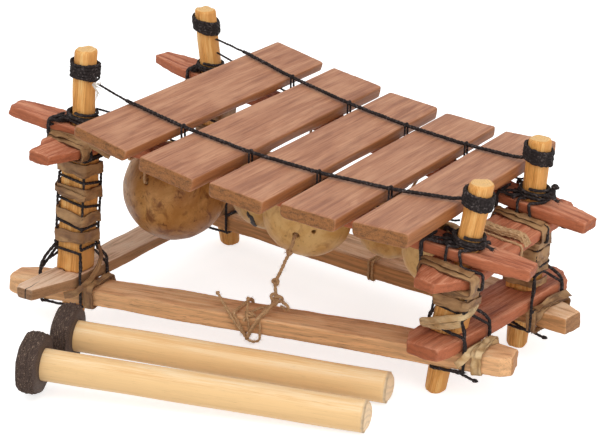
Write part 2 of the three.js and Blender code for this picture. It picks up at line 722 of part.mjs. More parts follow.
function buildBar(bar) {
  const body = new THREE.ExtrudeGeometry(barSection(bar), {
    depth: bar.length - 2 * BOARD_EDGE,
    steps: 1,
    curveSegments: BAR_ROUND_STEPS,
    bevelEnabled: true,
    bevelSegments: 1,
    bevelSize: BOARD_EDGE,
    bevelThickness: BOARD_EDGE,
    bevelOffset: -BOARD_EDGE,
  });
  body.translate(0, 0, BOARD_EDGE - bar.length / 2);
  const mesh = addMesh(bar.name, toGeometry(toSolid(body).subtract(toSolid(archCutter(bar)))), WOOD_BAR);
  const middle = (bar.left + bar.right) / 2;
  mesh.position.set(middle, DECK_MIDLINE, barTop(bar, middle));
  // The section's width runs to -X, its thickness up and the length to +Y.
  mesh.quaternion.setFromRotationMatrix(new THREE.Matrix4().makeBasis(
    new THREE.Vector3(-Math.cos(bar.tilt), 0, -Math.sin(bar.tilt)),
    new THREE.Vector3(-Math.sin(bar.tilt), 0, Math.cos(bar.tilt)),
    new THREE.Vector3(0, 1, 0),
  ));
}

// Gourds: each hangs mouth up below its bar, in a front and a rear row by turns

const gourds = bars.map((bar, i) => {
  const x = (bar.left + bar.right) / 2 + GOURD_SIDE_SHIFTS[i];
  return {
    name: 'gourd_' + (i + 1),
    x,
    y: DECK_MIDLINE + GOURD_BACK_SHIFTS[i],
    z: deckHeight(x) - GOURD_DROPS[i],
    radius: GOURD_RADII[i],
    rim: GOURD_RIMS[i],
    look: i === 0 ? GOURD_BROWN : GOURD_CREAM,
    bores: [],
  };
});
const [, , gourdThree, gourdFour, gourdFive] = gourds;

// A place on the line through a gourd's centre: turn is seen from above, from +X, and rise from level.
function fromGourd(gourd, turn, rise, distance) {
  const t = THREE.MathUtils.degToRad(turn);
  const r = THREE.MathUtils.degToRad(rise);
  return new THREE.Vector3(
    gourd.x + distance * Math.cos(t) * Math.cos(r),
    gourd.y + distance * Math.sin(t) * Math.cos(r),
    gourd.z + distance * Math.sin(r),
  );
}

// A twine passes straight through the wall: its first two points, from inside, and a bore for it.
function throughWall(gourd, turn, rise, diameter) {
  const inside = fromGourd(gourd, turn, rise, gourd.radius - GOURD_WALL - diameter * 1.5);
  const outside = fromGourd(gourd, turn, rise, gourd.radius + diameter * 1.5);
  gourd.bores.push({ inside, outside, diameter: diameter + 3 * CORD_GAP });
  return [inside, outside];
}

function boreSolid(bore) {
  const along = new THREE.Vector3().subVectors(bore.outside, bore.inside);
  const pin = new THREE.CylinderGeometry(bore.diameter / 2, bore.diameter / 2, along.length(), BORE_SIDES);
  const direction = along.clone().normalize();
  pin.applyQuaternion(new THREE.Quaternion().setFromUnitVectors(new THREE.Vector3(0, 1, 0), direction));
  const middle = bore.inside.clone().lerp(bore.outside, 0.5);
  pin.translate(middle.x, middle.y, middle.z);
  return toSolid(pin);
}

function buildGourd(gourd) {
  const outer = gourd.radius;
  const inner = outer - GOURD_WALL;
  const outerTurn = Math.PI - Math.acos(gourd.rim / outer);
  const innerTurn = Math.PI - Math.acos(gourd.rim / inner);
  const profile = [
    new THREE.Vector2(0, -outer - GOURD_NUB),
    new THREE.Vector2(outer * GOURD_NUB_SHARE, -outer - GOURD_NUB_EDGE),
  ];
  for (let k = 1; k <= GOURD_OUTER_STEPS; k += 1) {
    const angle = outerTurn * k / GOURD_OUTER_STEPS;
    profile.push(new THREE.Vector2(outer * Math.sin(angle), -outer * Math.cos(angle)));
  }
  for (let k = GOURD_INNER_STEPS; k >= 0; k -= 1) {
    const angle = innerTurn * k / GOURD_INNER_STEPS;
    profile.push(new THREE.Vector2(k === 0 ? 0 : inner * Math.sin(angle), -inner * Math.cos(angle)));
  }
  const lathe = new THREE.LatheGeometry(profile, GOURD_SEGMENTS);
  lathe.rotateX(Math.PI / 2);
  lathe.translate(gourd.x, gourd.y, gourd.z);
  let solid = toSolid(lathe);
  for (const bore of gourd.bores) {
    solid = solid.subtract(boreSolid(bore));
  }
  addMesh(gourd.name, toGeometry(solid), gourd.look);
}

// Places round a joint, seen from above, from where the boards' middle lines cross: a is the
// distance from the crosspiece's line towards the treble end, b from the long rail's line to the rear.
function jointPlan(joint, a, b) {
  const long = joint.long.along.clone().setZ(0).normalize();
  const cross = joint.cross.along.clone().setZ(0).normalize();
  const skew = long.x * cross.y - long.y * cross.x;
  const from = inBoard(joint.long, 0, 0, joint.longThickness / 2).setZ(0);
  const to = inBoard(joint.cross, 0, 0, joint.crossThickness / 2).setZ(0).sub(from);
  const run = (to.x * cross.y - to.y * cross.x) / skew;
  return from.addScaledVector(long, run + a / skew).addScaledVector(cross, b / skew);
}

// How far along one board from the post a strap lies clear of the other board and its lashing.
function clearOfCrossing(joint, ownHalf, otherHalf) {
  const cosine = Math.abs(joint.long.along.dot(joint.cross.along));
  const sine = Math.sqrt(1 - cosine ** 2);
  const edge = otherHalf + LASHING_DIAMETER + LASHING_SLACK + 3 * CORD_GAP;
  return (edge + (ownHalf + STRAP_THICKNESS + CORD_GAP) * cosine) / sine + STRAP_WIDTH / 2;
}

function atPlane(place, n, point, lift) {
  return new THREE.Vector3(point.x, point.y, planeHeight(place, n, point.x, point.y) + lift);
}

// Black cord on the lower joint: once round the block, then over and under the crossing rails.
function buildLowerLashing(post) {
  const joint = lowerJoint(post);
  const off = LASHING_DIAMETER / 2 + CORD_GAP;
  const ringOff = off + LASHING_RING_GAP;
  const a = joint.crossHalf + off + LASHING_SLACK;
  const b = joint.longHalf + off;
  const qa = BLOCK_WIDTH / 2 + ringOff;
  const qb = BLOCK_DEPTH / 2 + ringOff;
  const top = (x, y) => atPlane(joint.cross, joint.crossThickness, jointPlan(joint, x, y), off);
  const under = (x, y) => atPlane(joint.long, 0, jointPlan(joint, x, y), -off);
  const shoulder = planeHeight(joint.cross, joint.crossThickness, post.x, post.y) + FIT;
  const ringPlan = [[-qa, 0], [-qa, -qb], [qa, -qb], [qa, qb], [-qa, qb]];
  const ring = ringPlan.map(([x, y], k) => (
    axisAt(post, shoulder + LASHING_RING_HEIGHTS[k]).add(new THREE.Vector3(x, y, 0))));
  const corners = [
    ...ring,
    top(-a, b), under(-a, b), under(-a, -b), top(-a, -b),
    top(a, -b), under(a, -b), under(a, b), top(a, b),
    atPlane(joint.cross, joint.crossThickness, jointPlan(joint, 0, (b + qb) / 2 + 1), off),
  ];
  const route = roundedRoute(corners, LASHING_BEND, 2);
  windingMesh(post.name + '_lower_lashing', route, LASHING_DIAMETER, 5, BLACK_CORD);
}

// A helix round the leaning post, from its top end down, turning from +X towards +Y.
function helixPoints(post, radius, topHeight, pitch, turns, endTurn, stepsPerTurn, tilt) {
  const steps = Math.round(turns * stepsPerTurn);
  const reach = radius / Math.cos(Math.PI / stepsPerTurn);
  const points = [];
  for (let k = 0; k <= steps; k += 1) {
    const angle = endTurn + (k / steps - 1) * turns * 2 * Math.PI;
    const z = topHeight - pitch * turns * k / steps;
    const centre = axisAt(post, z);
    points.push(centre.add(new THREE.Vector3(
      reach * Math.cos(angle), reach * Math.sin(angle), tilt * reach * Math.cos(angle))));
  }
  return points;
}

// Black cord on the upper joint: turns round the post on the rail, then over and under both rails.
function buildUpperLashing(post) {
  const joint = upperJoint(post);
  const off = LASHING_DIAMETER / 2 + CORD_GAP;
  const radius = POST_DIAMETER / 2 + off;
  const a = joint.crossHalf + off + LASHING_SLACK;
  const b = joint.longHalf + off;
  const slope = slopeOf(joint.long);
  const pitch = LASHING_DIAMETER + LASHING_STEP;
  const turns = LASHING_TURNS;
  const axis = axisAt(post, post.railTop);
  const start = planeHeight(joint.long, joint.longThickness, axis.x, axis.y) + off + 0.2;
  const helixTop = start + pitch * turns;
  const helix = helixPoints(post, radius, helixTop, pitch, turns, Math.PI / 2, TURN_STEPS, slope);
  const top = (x, y) => atPlane(joint.long, joint.longThickness, jointPlan(joint, x, y), off);
  const under = (x, y) => atPlane(joint.cross, 0, jointPlan(joint, x, y), -off);
  const corners = [
    helix[helix.length - 1],
    top(-a, b), under(-a, b), under(a, b), top(a, b),
    top(a, -b), under(a, -b), under(-a, -b), top(-a, -b),
    top(-a, b * 0.35),
  ];
  const route = helix.slice(0, -1).concat(roundedRoute(corners, LASHING_BEND, 2));
  windingMesh(post.name + '_upper_lashing', route, LASHING_DIAMETER, 5, BLACK_CORD);
}

// Black cord wound in close turns near the top of each post, which the bars' cords are tied to.
function windingHeights(post) {
  const middle = post.height - post.windingDrop;
  const reach = WINDING_TURNS * WINDING_PITCH / 2;
  return { top: middle + reach, bottom: middle - reach };
}

function buildTopWinding(post) {
  const radius = POST_DIAMETER / 2 + WINDING_DIAMETER / 2 + CORD_GAP;
  const { top } = windingHeights(post);
  const points = helixPoints(post, radius, top, WINDING_PITCH, WINDING_TURNS, 0, TURN_STEPS, WINDING_TILT);
  windingMesh(post.name + '_top_winding', points, WINDING_DIAMETER, 5, BLACK_CORD);
}

// A flat strip wound in a steep spiral round the post's square block.
function buildBinding(post) {
  const { share, turns } = isLeft(post) ? LEFT_BINDING : RIGHT_BINDING;
  const near = blockOutline(CORD_GAP);
  const far = blockOutline(CORD_GAP + STRIP_THICKNESS);
  const above = upperJoint(post);
  const lashing = LASHING_DIAMETER + 2 * CORD_GAP;
  const joint = planeHeight(lowerJoint(post).cross, LOWER_CROSS_THICKNESS, post.x, post.y);
  const low = joint + BINDING_FROM_JOINT + STRIP_WIDTH / 2;
  const middle = axisAt(post, post.railTop);
  const high = planeHeight(above.cross, 0, middle.x, middle.y) - lashing - STRIP_WIDTH / 2
    - Math.abs(slopeOf(above.long)) * BLOCK_WIDTH / 2;
  const start = high - (high - low) * share;
  const steps = turns * near.length;
  const rings = [];
  for (let k = 0; k <= steps; k += 1) {
    const z = start + (high - start) * k / steps;
    const [nx, ny] = near[k % near.length];
    const [fx, fy] = far[k % near.length];
    const half = STRIP_WIDTH / 2;
    const at = (x, y, dz) => axisAt(post, z + dz).add(new THREE.Vector3(x, y, 0));
    rings.push([at(nx, ny, -half), at(nx, ny, half), at(fx, fy, half), at(fx, fy, -half)]);
  }
  addMesh(post.name + '_rawhide_binding', skin(rings), RAWHIDE);
}

// A flat strap once round a board, its ends meeting under it.
function buildStrap(name, place, s, half, thickness) {
  const loopAt = (off) => {
    const w = half + off;
    const low = -off;
    const high = thickness + off;
    const c = off;
    return [
      [-CORD_GAP * 2, low], [-w + c, low], [-w, low + c], [-w, high - c], [-w + c, high],
      [w - c, high], [w, high - c], [w, low + c], [w - c, low], [CORD_GAP * 2, low],
    ];
  };
  const near = loopAt(CORD_GAP);
  const far = loopAt(CORD_GAP + STRAP_THICKNESS);
  const rings = near.map(([nw, nn], k) => {
    const [fw, fn] = far[k];
    const low = s - STRAP_WIDTH / 2;
    const high = s + STRAP_WIDTH / 2;
    return [inBoard(place, low, nw, nn), inBoard(place, low, fw, fn), inBoard(place, high, fw, fn),
      inBoard(place, high, nw, nn)];
  });
  addMesh(name, skin(rings), RAWHIDE);
}

// A strap on each upper crosspiece before the post, and on the long lower rails past three posts.
function buildStraps() {
  for (const post of posts) {
    const joint = upperJoint(post);
    const middle = jointPlan(joint, 0, 0);
    const clear = clearOfCrossing(joint, joint.crossHalf, joint.longHalf);
    const s = boardSteps(joint.cross, middle.x, middle.y).s - clear;
    buildStrap(post.name + '_upper_strap', joint.cross, s, joint.crossHalf, joint.crossThickness);
  }
  for (const post of [frontLeft, frontRight, rearRight]) {
    const joint = lowerJoint(post);
    const middle = jointPlan(joint, 0, 0);
    const clear = clearOfCrossing(joint, joint.longHalf, joint.crossHalf);
    const s = boardSteps(joint.long, middle.x, middle.y).s + clear;
    buildStrap(post.name + '_lower_strap', joint.long, s, joint.longHalf, joint.longThickness);
  }
}

// Cords that carry the bars

function cordLineY(line, x) {
  const run = x - line.at;
  return line.y + line.slope * run + line.bow * run * (run - line.bowFrom);
}

function topCordHeight(x) {
  const bar = bars.find((b) => x >= b.left - BAR_SPACING / 2 && x <= b.right + BAR_SPACING / 2);
  const surface = bar ? barTop(bar, Math.min(Math.max(x, bar.left), bar.right)) : deckHeight(x);
  return surface + TOP_CORD_DIAMETER / 2 + CORD_GAP + TOP_CORD_REST;
}

function onSurface(post, z, towards, reach) {
  const axis = axisAt(post, z);
  const way = new THREE.Vector3(towards.x - axis.x, towards.y - axis.y, 0).normalize();
  return axis.addScaledVector(way, POST_DIAMETER / 2 + reach);
}

function buildTopCord(name, line, leftPost, rightPost) {
  const across = [];
  for (const bar of bars) {
    const short = bar === bars[bars.length - 1] ? CORD_STOP : 0;
    for (const x of [bar.left, bar.right - short]) {
      across.push(new THREE.Vector3(x, cordLineY(line, x), topCordHeight(x)));
    }
  }
  const startHeight = windingHeights(leftPost).bottom - TOP_CORD_DIAMETER / 2 - WINDING_DIAMETER / 2;
  const start = onSurface(leftPost, startHeight, across[0], CORD_GAP + 0.4);
  const last = across[across.length - 1];
  const end = onSurface(rightPost, last.z + 1.4, last, WINDING_DIAMETER + 1.6);
  const route = roundedRoute([start, ...across, end], TOP_CORD_BEND, 1);
  addMesh(name, cordAlong(route, TOP_CORD_DIAMETER, 6), BLACK_CORD);
}

// One string under all the bars: in each gap it comes up beside the top cord, goes over it and down again.
function buildUnderCord(name, line, leftPost, rightPost) {
  const radius = UNDER_CORD_DIAMETER / 2;
  const beside = TOP_CORD_DIAMETER / 2 + radius + CORD_GAP;
  const below = radius + CORD_GAP;
  const corners = [];
  bars.forEach((bar, i) => {
    const first = i === 0;
    const last = i === bars.length - 1;
    const startX = first ? bar.left - UNDER_CORD_START : bar.left - BAR_SPACING / 2;
    const endX = last ? bar.right + UNDER_CORD_END : bar.right + BAR_SPACING / 2;
    const low = barUnderside(bar, bar.left + 1) - below;
    const high = barUnderside(bar, bar.right - 1) - below;
    if (first) {
      const corner = new THREE.Vector3(startX, cordLineY(line, startX) + beside, low - 0.3);
      corners.push(onSurface(leftPost, low + UNDER_CORD_CLIMB, corner, CORD_GAP + UNDER_CORD_EXTRA), corner);
    }
    corners.push(new THREE.Vector3(bar.left + 1, cordLineY(line, bar.left) + beside, low));
    corners.push(new THREE.Vector3(bar.right - 1, cordLineY(line, bar.right) - beside, high));
    if (last) {
      const y = cordLineY(line, endX) - beside;
      const end = new THREE.Vector3(endX - CORD_STOP, y, high);
      corners.push(onSurface(rightPost, high + 0.6, end, CORD_GAP + 0.4));
    } else {
      const y = cordLineY(line, endX);
      const over = topCordHeight(endX) + beside;
      const next = barUnderside(bars[i + 1], bars[i + 1].left + 1) - below;
      corners.push(new THREE.Vector3(endX, y - beside, high), new THREE.Vector3(endX, y - beside, over));
      corners.push(new THREE.Vector3(endX, y + beside, over), new THREE.Vector3(endX, y + beside, next));
    }
  });
  windingMesh(name, roundedRoute(corners, UNDER_CORD_BEND, 1), UNDER_CORD_DIAMETER, 5, BLACK_CORD);
}

// Twine that holds the gourds

// The board's own s and w over a point of the floor.
function boardSteps(place, x, y) {
  const flat = new THREE.Vector3(x - place.origin.x, y - place.origin.y, 0);
  const along = place.along.clone().setZ(0);
  const across = new THREE.Vector3(-along.y, along.x, 0).normalize();
  return { s: flat.dot(along.clone().normalize()) / along.length(), w: flat.dot(across) };
}

// From a knot inside the gourd out through its wall, up to a rail, once round it and back under.
function buildHanger(gourd, index, joint, s, side) {
  const { place, half, thickness } = joint;
  const off = TWINE_DIAMETER / 2 + CORD_GAP;
  const wall = throughWall(gourd, HANGER_TURNS[index], HANGER_RISES[index], TWINE_DIAMETER);
  const w = side * (half + off);
  const step = TWINE_DIAMETER + TWINE_STEP;
  const high = thickness + off;
  const corners = [
    ...wall,
    inBoard(place, s, w, -off), inBoard(place, s, w, high),
    inBoard(place, s + step / 2, -w, high), inBoard(place, s + step, -w, -off),
    inBoard(place, s + step, w * 0.4, -off),
  ];
  windingMesh(gourd.name + '_hanger', roundedRoute(corners, TWINE_BEND, 2), TWINE_DIAMETER, 5, JUTE);
}

// Two turns round a lower rail, then a stem up to the gourd and through its wall, past the
// bends, each a share of the way up with a step aside.
function buildTie(gourd, tie, place, half) {
  const thickness = LOWER_RAIL_THICKNESS;
  const off = tie.diameter / 2 + CORD_GAP;
  const step = tie.diameter + TIE_STEP;
  const [inside, outside] = throughWall(gourd, tie.turn, tie.rise, tie.diameter);
  const around = (k, w, n) => inBoard(place, tie.at + k * step, w, n);
  const low = -off;
  const high = thickness + off;
  const wide = half + off;
  const foot = around(1.5, wide * 0.4, high + tie.diameter * 0.7);
  const stem = tie.bends.map(([share, aside]) => (
    foot.clone().lerp(outside, share).add(new THREE.Vector3(aside, 0, 0))));
  const corners = [
    around(-0.4, 0, low),
    around(0, -wide, low), around(0, -wide, high), around(0.3, wide, high), around(0.6, wide, low),
    around(1, -wide, low), around(1, -wide, high),
    foot, ...stem, outside, inside,
  ];
  windingMesh(gourd.name + '_twine_tie', roundedRoute(corners, TWINE_BEND, 2), tie.diameter, 6, JUTE);
}

function buildTwine() {
  const front = { place: upperFrontPlace, half: UPPER_RAIL_WIDTH / 2, thickness: UPPER_RAIL_THICKNESS };
  const rear = { ...front, place: upperRearPlace };
  const right = {
    place: upperRightPlace, half: UPPER_RIGHT_CROSS_WIDTH / 2, thickness: UPPER_CROSS_THICKNESS,
  };
  [front, rear, front, rear].forEach((rail, i) => {
    const gourd = gourds[i];
    const s = boardSteps(rail.place, gourd.x + HANGER_SHIFTS[i], gourd.y).s;
    buildHanger(gourd, i, rail, s, rail === front ? 1 : -1);
  });
  buildHanger(gourdFive, 4, right, gourdFive.y - frontRight.y + HANGER_SHIFTS[4], 1);
  buildTie(gourdThree, FRONT_TIE, lowerFrontPlace, LOWER_RAIL_WIDTH / 2);
  buildTie(gourdFour, REAR_TIE, lowerRearPlace, LOWER_REAR_RAIL_WIDTH / 2);
}

// Mallets

const mallets = [
  { name: 'front_mallet', head: FRONT_MALLET_AT, turn: FRONT_MALLET_TURN },
  { name: 'rear_mallet', head: REAR_MALLET_AT, turn: REAR_MALLET_TURN },
];

// The head stands on its rim and the other end of the stick on the floor, so the stick slopes.
function buildMallet(mallet) {
  const reach = STICK_LENGTH - MALLET_HEAD_THICKNESS / 2;
  const headRadius = MALLET_HEAD_DIAMETER / 2;
  const stickRadius = STICK_DIAMETER / 2;
  const slope = Math.asin((headRadius - stickRadius) / reach);
  const t = MALLET_HEAD_THICKNESS / 2;
  const lift = headRadius * Math.cos(slope) + t * Math.sin(slope) + FLOOR_CLEARANCE;
  const place = (geometry) => {
    geometry.rotateZ(-Math.PI / 2);
    geometry.rotateY(slope);
    geometry.rotateZ(THREE.MathUtils.degToRad(mallet.turn));
    geometry.translate(mallet.head[0], mallet.head[1], lift);
    return geometry;
  };
  addMesh(mallet.name + '_stick', place(stickLathe(stickRadius, reach)), STICK_WOOD);
  addMesh(mallet.name + '_head', place(headLathe(stickRadius + FIT, headRadius, t)), RUBBER);
}

function stickLathe(radius, reach) {
  const back = -MALLET_HEAD_THICKNESS / 2 + STICK_SHORT_OF_HEAD;
  return new THREE.LatheGeometry([
    new THREE.Vector2(0, back),
    new THREE.Vector2(radius - STICK_EDGE, back),
    new THREE.Vector2(radius, back + STICK_EDGE),
    new THREE.Vector2(radius, reach - STICK_END_LENGTH),
    new THREE.Vector2(radius - STICK_END_DEPTH, reach - STICK_END_DEPTH / 4),
    new THREE.Vector2(0, reach),
  ], MALLET_SIDES);
}

// A disc bored for the stick, its crowned rim ribbed.
function headLathe(bore, radius, t) {
  const profile = [new THREE.Vector2(bore, -t), new THREE.Vector2(radius - HEAD_EDGE, -t)];
  const ribbed = 2 * (t - HEAD_RIM_EDGE);
  for (let k = 0; k <= HEAD_RIDGES; k += 1) {
    const y = ribbed * (k / HEAD_RIDGES - 0.5);
    const crown = radius - HEAD_CROWN * (y / t) ** 2;
    profile.push(new THREE.Vector2(crown, y));
    if (k < HEAD_RIDGES) {
      profile.push(new THREE.Vector2(crown - HEAD_RIDGE_DEPTH, y + ribbed / HEAD_RIDGES / 2));
    }
  }
  profile.push(new THREE.Vector2(radius - HEAD_EDGE, t));
  profile.push(new THREE.Vector2(bore, t), new THREE.Vector2(bore, -t));
  return new THREE.LatheGeometry(profile, MALLET_SIDES);
}

buildLowerFrame();
buildUpperFrame();
buildPosts();
bars.forEach(buildBar);
buildTopCord('front_top_cord', FRONT_CORD_LINE, frontLeft, frontRight);
buildTopCord('rear_top_cord', REAR_CORD_LINE, rearLeft, rearRight);
buildUnderCord('front_under_cord', FRONT_CORD_LINE, frontLeft, frontRight);
buildUnderCord('rear_under_cord', REAR_CORD_LINE, rearLeft, rearRight);
for (const post of posts) {
  buildLowerLashing(post);
  buildUpperLashing(post);
  buildTopWinding(post);
  buildBinding(post);
}
buildStraps();
buildTwine();
gourds.forEach(buildGourd);
mallets.forEach(buildMallet);

// The origin is under the middle of the whole set's box.
const bounds = new THREE.Box3().setFromObject(model);
const centre = bounds.getCenter(new THREE.Vector3());
model.position.set(-centre.x, -centre.y, 0);

console.log('Least gap of each winding to itself, mm: ' + windingGaps.join(', '));

export default model;
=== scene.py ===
"""Looks of a small West African balafon with its pair of mallets.

Lengths are in millimetres until a piece is finished, in the model's own frame: X runs from the
tall bass end to the low treble end, Y to the rear and Z up from the floor.
"""

import math
import random

import bmesh
import bpy
from mathutils import Matrix, Vector, noise


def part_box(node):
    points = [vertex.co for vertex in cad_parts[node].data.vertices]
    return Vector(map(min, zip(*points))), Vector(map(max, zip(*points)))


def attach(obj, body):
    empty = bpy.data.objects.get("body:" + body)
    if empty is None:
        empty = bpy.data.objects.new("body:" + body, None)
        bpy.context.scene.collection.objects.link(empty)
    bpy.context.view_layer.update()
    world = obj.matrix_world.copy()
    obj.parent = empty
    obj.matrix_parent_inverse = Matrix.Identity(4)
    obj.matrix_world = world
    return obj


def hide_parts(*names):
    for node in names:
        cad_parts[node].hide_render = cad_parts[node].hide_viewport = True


bl_info = {
    "name": "Balafon",
    "version": (1, 0, 0),
    "blender": (4, 5, 0),
    "location": "3D View > Sidebar > Balafon",
    "description": "Builds the looks of a five-bar balafon and its mallets",
    "category": "Add Mesh",
}

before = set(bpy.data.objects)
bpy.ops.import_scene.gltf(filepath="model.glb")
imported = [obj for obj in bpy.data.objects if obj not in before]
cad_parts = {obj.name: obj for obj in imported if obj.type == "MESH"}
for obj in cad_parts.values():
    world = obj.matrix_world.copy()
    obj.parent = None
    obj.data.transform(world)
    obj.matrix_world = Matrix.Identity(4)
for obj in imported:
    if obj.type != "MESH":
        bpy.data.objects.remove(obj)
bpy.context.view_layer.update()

MM = 0.001
CORNERS = ("front_left", "front_right", "rear_right", "rear_left")
BAR_COUNT = 5
UP = Vector((0, 0, 1))
# Between a cord and what it lies on
CORD_REST = 0.3
GOURD_WALL = 3


def srgb(red, green, blue):
    """A colour as it looks on screen, 0 to 255, made linear."""
    shares = []
    for value in (red, green, blue):
        share = value / 255
        shares.append(share / 12.92 if share <= 0.04045 else ((share + 0.055) / 1.055) ** 2.4)
    return tuple(shares)


# Sizes and colours that a user may change


def colour(label, text, red, green, blue):
    return bpy.props.FloatVectorProperty(
        name=label, description=text, subtype="COLOR", size=3, min=0, max=1,
        default=srgb(red, green, blue))


def length(label, text, millimetres):
    return bpy.props.FloatProperty(
        name=label, description=text, unit="LENGTH", subtype="DISTANCE",
        default=millimetres * MM, min=0)


def share(label, text, value):
    return bpy.props.FloatProperty(
        name=label, description=text, subtype="FACTOR", default=value, min=0, max=1)


def power(label, text, value):
    return bpy.props.FloatProperty(name=label, description=text, unit="POWER", default=value, min=0)


class BalafonWood(bpy.types.PropertyGroup):
    """The woods of the bars, the frame and the mallets."""

    bar: colour("Bar", "Top of the bars", 180, 123, 91)
    bar_dark: colour("Bar streaks", "Dark streaks in the bars", 154, 101, 74)
    bar_side: colour("Bar sides", "Sawn sides of the bars", 170, 108, 64)
    bar_end: colour("Bar ends", "End grain of the bars", 166, 108, 58)
    post: colour("Post", "Whittled posts", 234, 166, 88)
    red: colour("Red rail", "Reddish rails", 188, 110, 76)
    tan: colour("Tan rail", "Front lower rail", 238, 182, 132)
    grey: colour("Grey rail", "Weathered rails", 232, 194, 162)
    stick: colour("Stick", "Mallet sticks", 250, 212, 158)
    voxel: length("Grain of the shape", "How finely worked wood is modelled", 0.95)


class BalafonSoft(bpy.types.PropertyGroup):
    """Cord, skin and twine."""

    cord: colour("Cord", "Waxed black cord", 46, 37, 36)
    rawhide: colour("Rawhide", "Skin strips", 142, 102, 66)
    twine: colour("Twine", "Jute twine", 226, 180, 132)
    top_cord: length("Top cord", "Thickness of the cords over the bars", 2.4)
    under_cord: length("Under cord", "Thickness of the cords under the bars", 1.4)
    lashing: length("Lashing", "Thickness of the lashing cord", 2.2)
    winding: length("Winding", "Thickness of the cord near the posts' tops", 2.0)


class BalafonGourds(bpy.types.PropertyGroup):
    """The resonators."""

    brown: colour("Brown gourd", "Skin of the bass gourd", 172, 116, 54)
    pale: colour("Pale gourds", "Skin of the other gourds", 216, 166, 92)
    wall: length("Wall", "Thickness of a gourd's wall", GOURD_WALL)


class BalafonMallets(bpy.types.PropertyGroup):
    """The heads of the mallets."""

    rubber: colour("Rubber", "Disc of old tyre rubber", 96, 78, 70)
    thread: colour("Threads", "Pale thread ends in the rubber", 184, 156, 134)


class BalafonStage(bpy.types.PropertyGroup):
    """Light and floor."""

    sky: share("Sky", "Light from all round", 0.74)
    key: power("Key lamp", "Power of the soft lamp above", 5.4)
    fill: power("Fill lamp", "Power of the soft lamp at the side", 2.7)


# Places, measured on the frame's own nodes


def node_points(name):
    return [vertex.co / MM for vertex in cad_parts[name].data.vertices]


def top_normal(node):
    """Which way the largest upper face of a node looks."""
    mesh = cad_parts[node].data
    mesh.calc_loop_triangles()
    tops = (triangle for triangle in mesh.loop_triangles if triangle.normal.z > 0.7)
    return Vector(max(tops, key=lambda triangle: triangle.area).normal)


class Post:
    """A leaning post: at(z) is the centre of it at a height."""

    radius = 7.5
    block_width = 19.0
    block_depth = 17.0

    def __init__(self, corner):
        self.name = corner
        points = node_points(corner + "_post")
        self.height = max(p.z for p in points)
        low = min(p.z for p in points)
        self.foot = self.end_centre(points, low)
        self.head = self.end_centre(points, self.height)

    @staticmethod
    def end_centre(points, level):
        flat = [p for p in points if abs(p.z - level) < 0.05]
        middle = [(min(p[axis] for p in flat) + max(p[axis] for p in flat)) / 2 for axis in (0, 1)]
        return Vector((*middle, flat[0].z))

    def at(self, z):
        return self.foot + (self.head - self.foot) * (z / self.height)

    def meet(self, normal, level):
        """Where the post's axis passes through the plane normal . p = level."""
        run = self.head - self.foot
        return self.foot + run * ((level - normal.dot(self.foot)) / normal.dot(run))

    @property
    def turn(self):
        """Turns the Z axis onto the post's axis."""
        return UP.rotation_difference(self.head - self.foot).to_matrix()


class Board:
    """A rail between two posts: s runs along it, w across it, n out of its top face."""

    def __init__(self, node, first, second):
        self.node = node
        self.up = top_normal(node)
        points = node_points(node)
        levels = [self.up.dot(p) for p in points]
        self.low = min(levels)
        self.thickness = max(levels) - self.low
        self.start = first.meet(self.up, self.low)
        self.along = (second.meet(self.up, self.low) - self.start).normalized()
        self.across = self.up.cross(self.along)
        self.half = max(abs(self.steps(p).y) for p in points)
        self.turn = Matrix((self.along, self.across, self.up))

    def at(self, s, w, n):
        return self.start + self.along * s + self.across * w + self.up * n

    def steps(self, point):
        away = point - self.start
        return Vector((away.dot(self.along), away.dot(self.across), away.dot(self.up)))

    def height(self, n, x, y):
        """Height of the board's plane, n above its underside, over a point of the floor."""
        p = self.start + self.up * n
        return p.z - (self.up.x * (x - p.x) + self.up.y * (y - p.y)) / self.up.z

    def over(self, n, point, lift):
        return Vector((point.x, point.y, self.height(n, point.x, point.y) + lift))

    def over_top(self, point, lift):
        return self.over(self.thickness, point, lift)

    @property
    def slope(self):
        return self.along.z / self.along.to_2d().length


class Bar:
    """A bar of the deck: u runs over its width from the bass side, y is its length."""

    def __init__(self, node):
        self.node = node
        self.up = top_normal(node)
        self.along = Vector((0, 1, 0))
        self.across = self.along.cross(self.up)
        self.turn = Matrix((self.along, self.across, self.up))
        points = node_points(node)
        widths = [self.across.dot(p) for p in points]
        levels = [self.up.dot(p) for p in points]
        self.width = max(widths) - min(widths)
        self.thickness = max(levels) - min(levels)
        self.corner = self.across * min(widths) + self.up * max(levels)
        self.start = self.at(self.width / 2, min(p.y for p in points))

    def at(self, u, y, n=0.0):
        """u over the width, y as it is, n above the top face."""
        return self.corner + self.across * u + self.up * n + Vector((0, y, 0))


# How far a lashing and a strap stand out from their boards, and half a strap's width
LASHING_REACH = 3.7
STRAP_REACH = 1.8
HALF_STRAP = 4.75


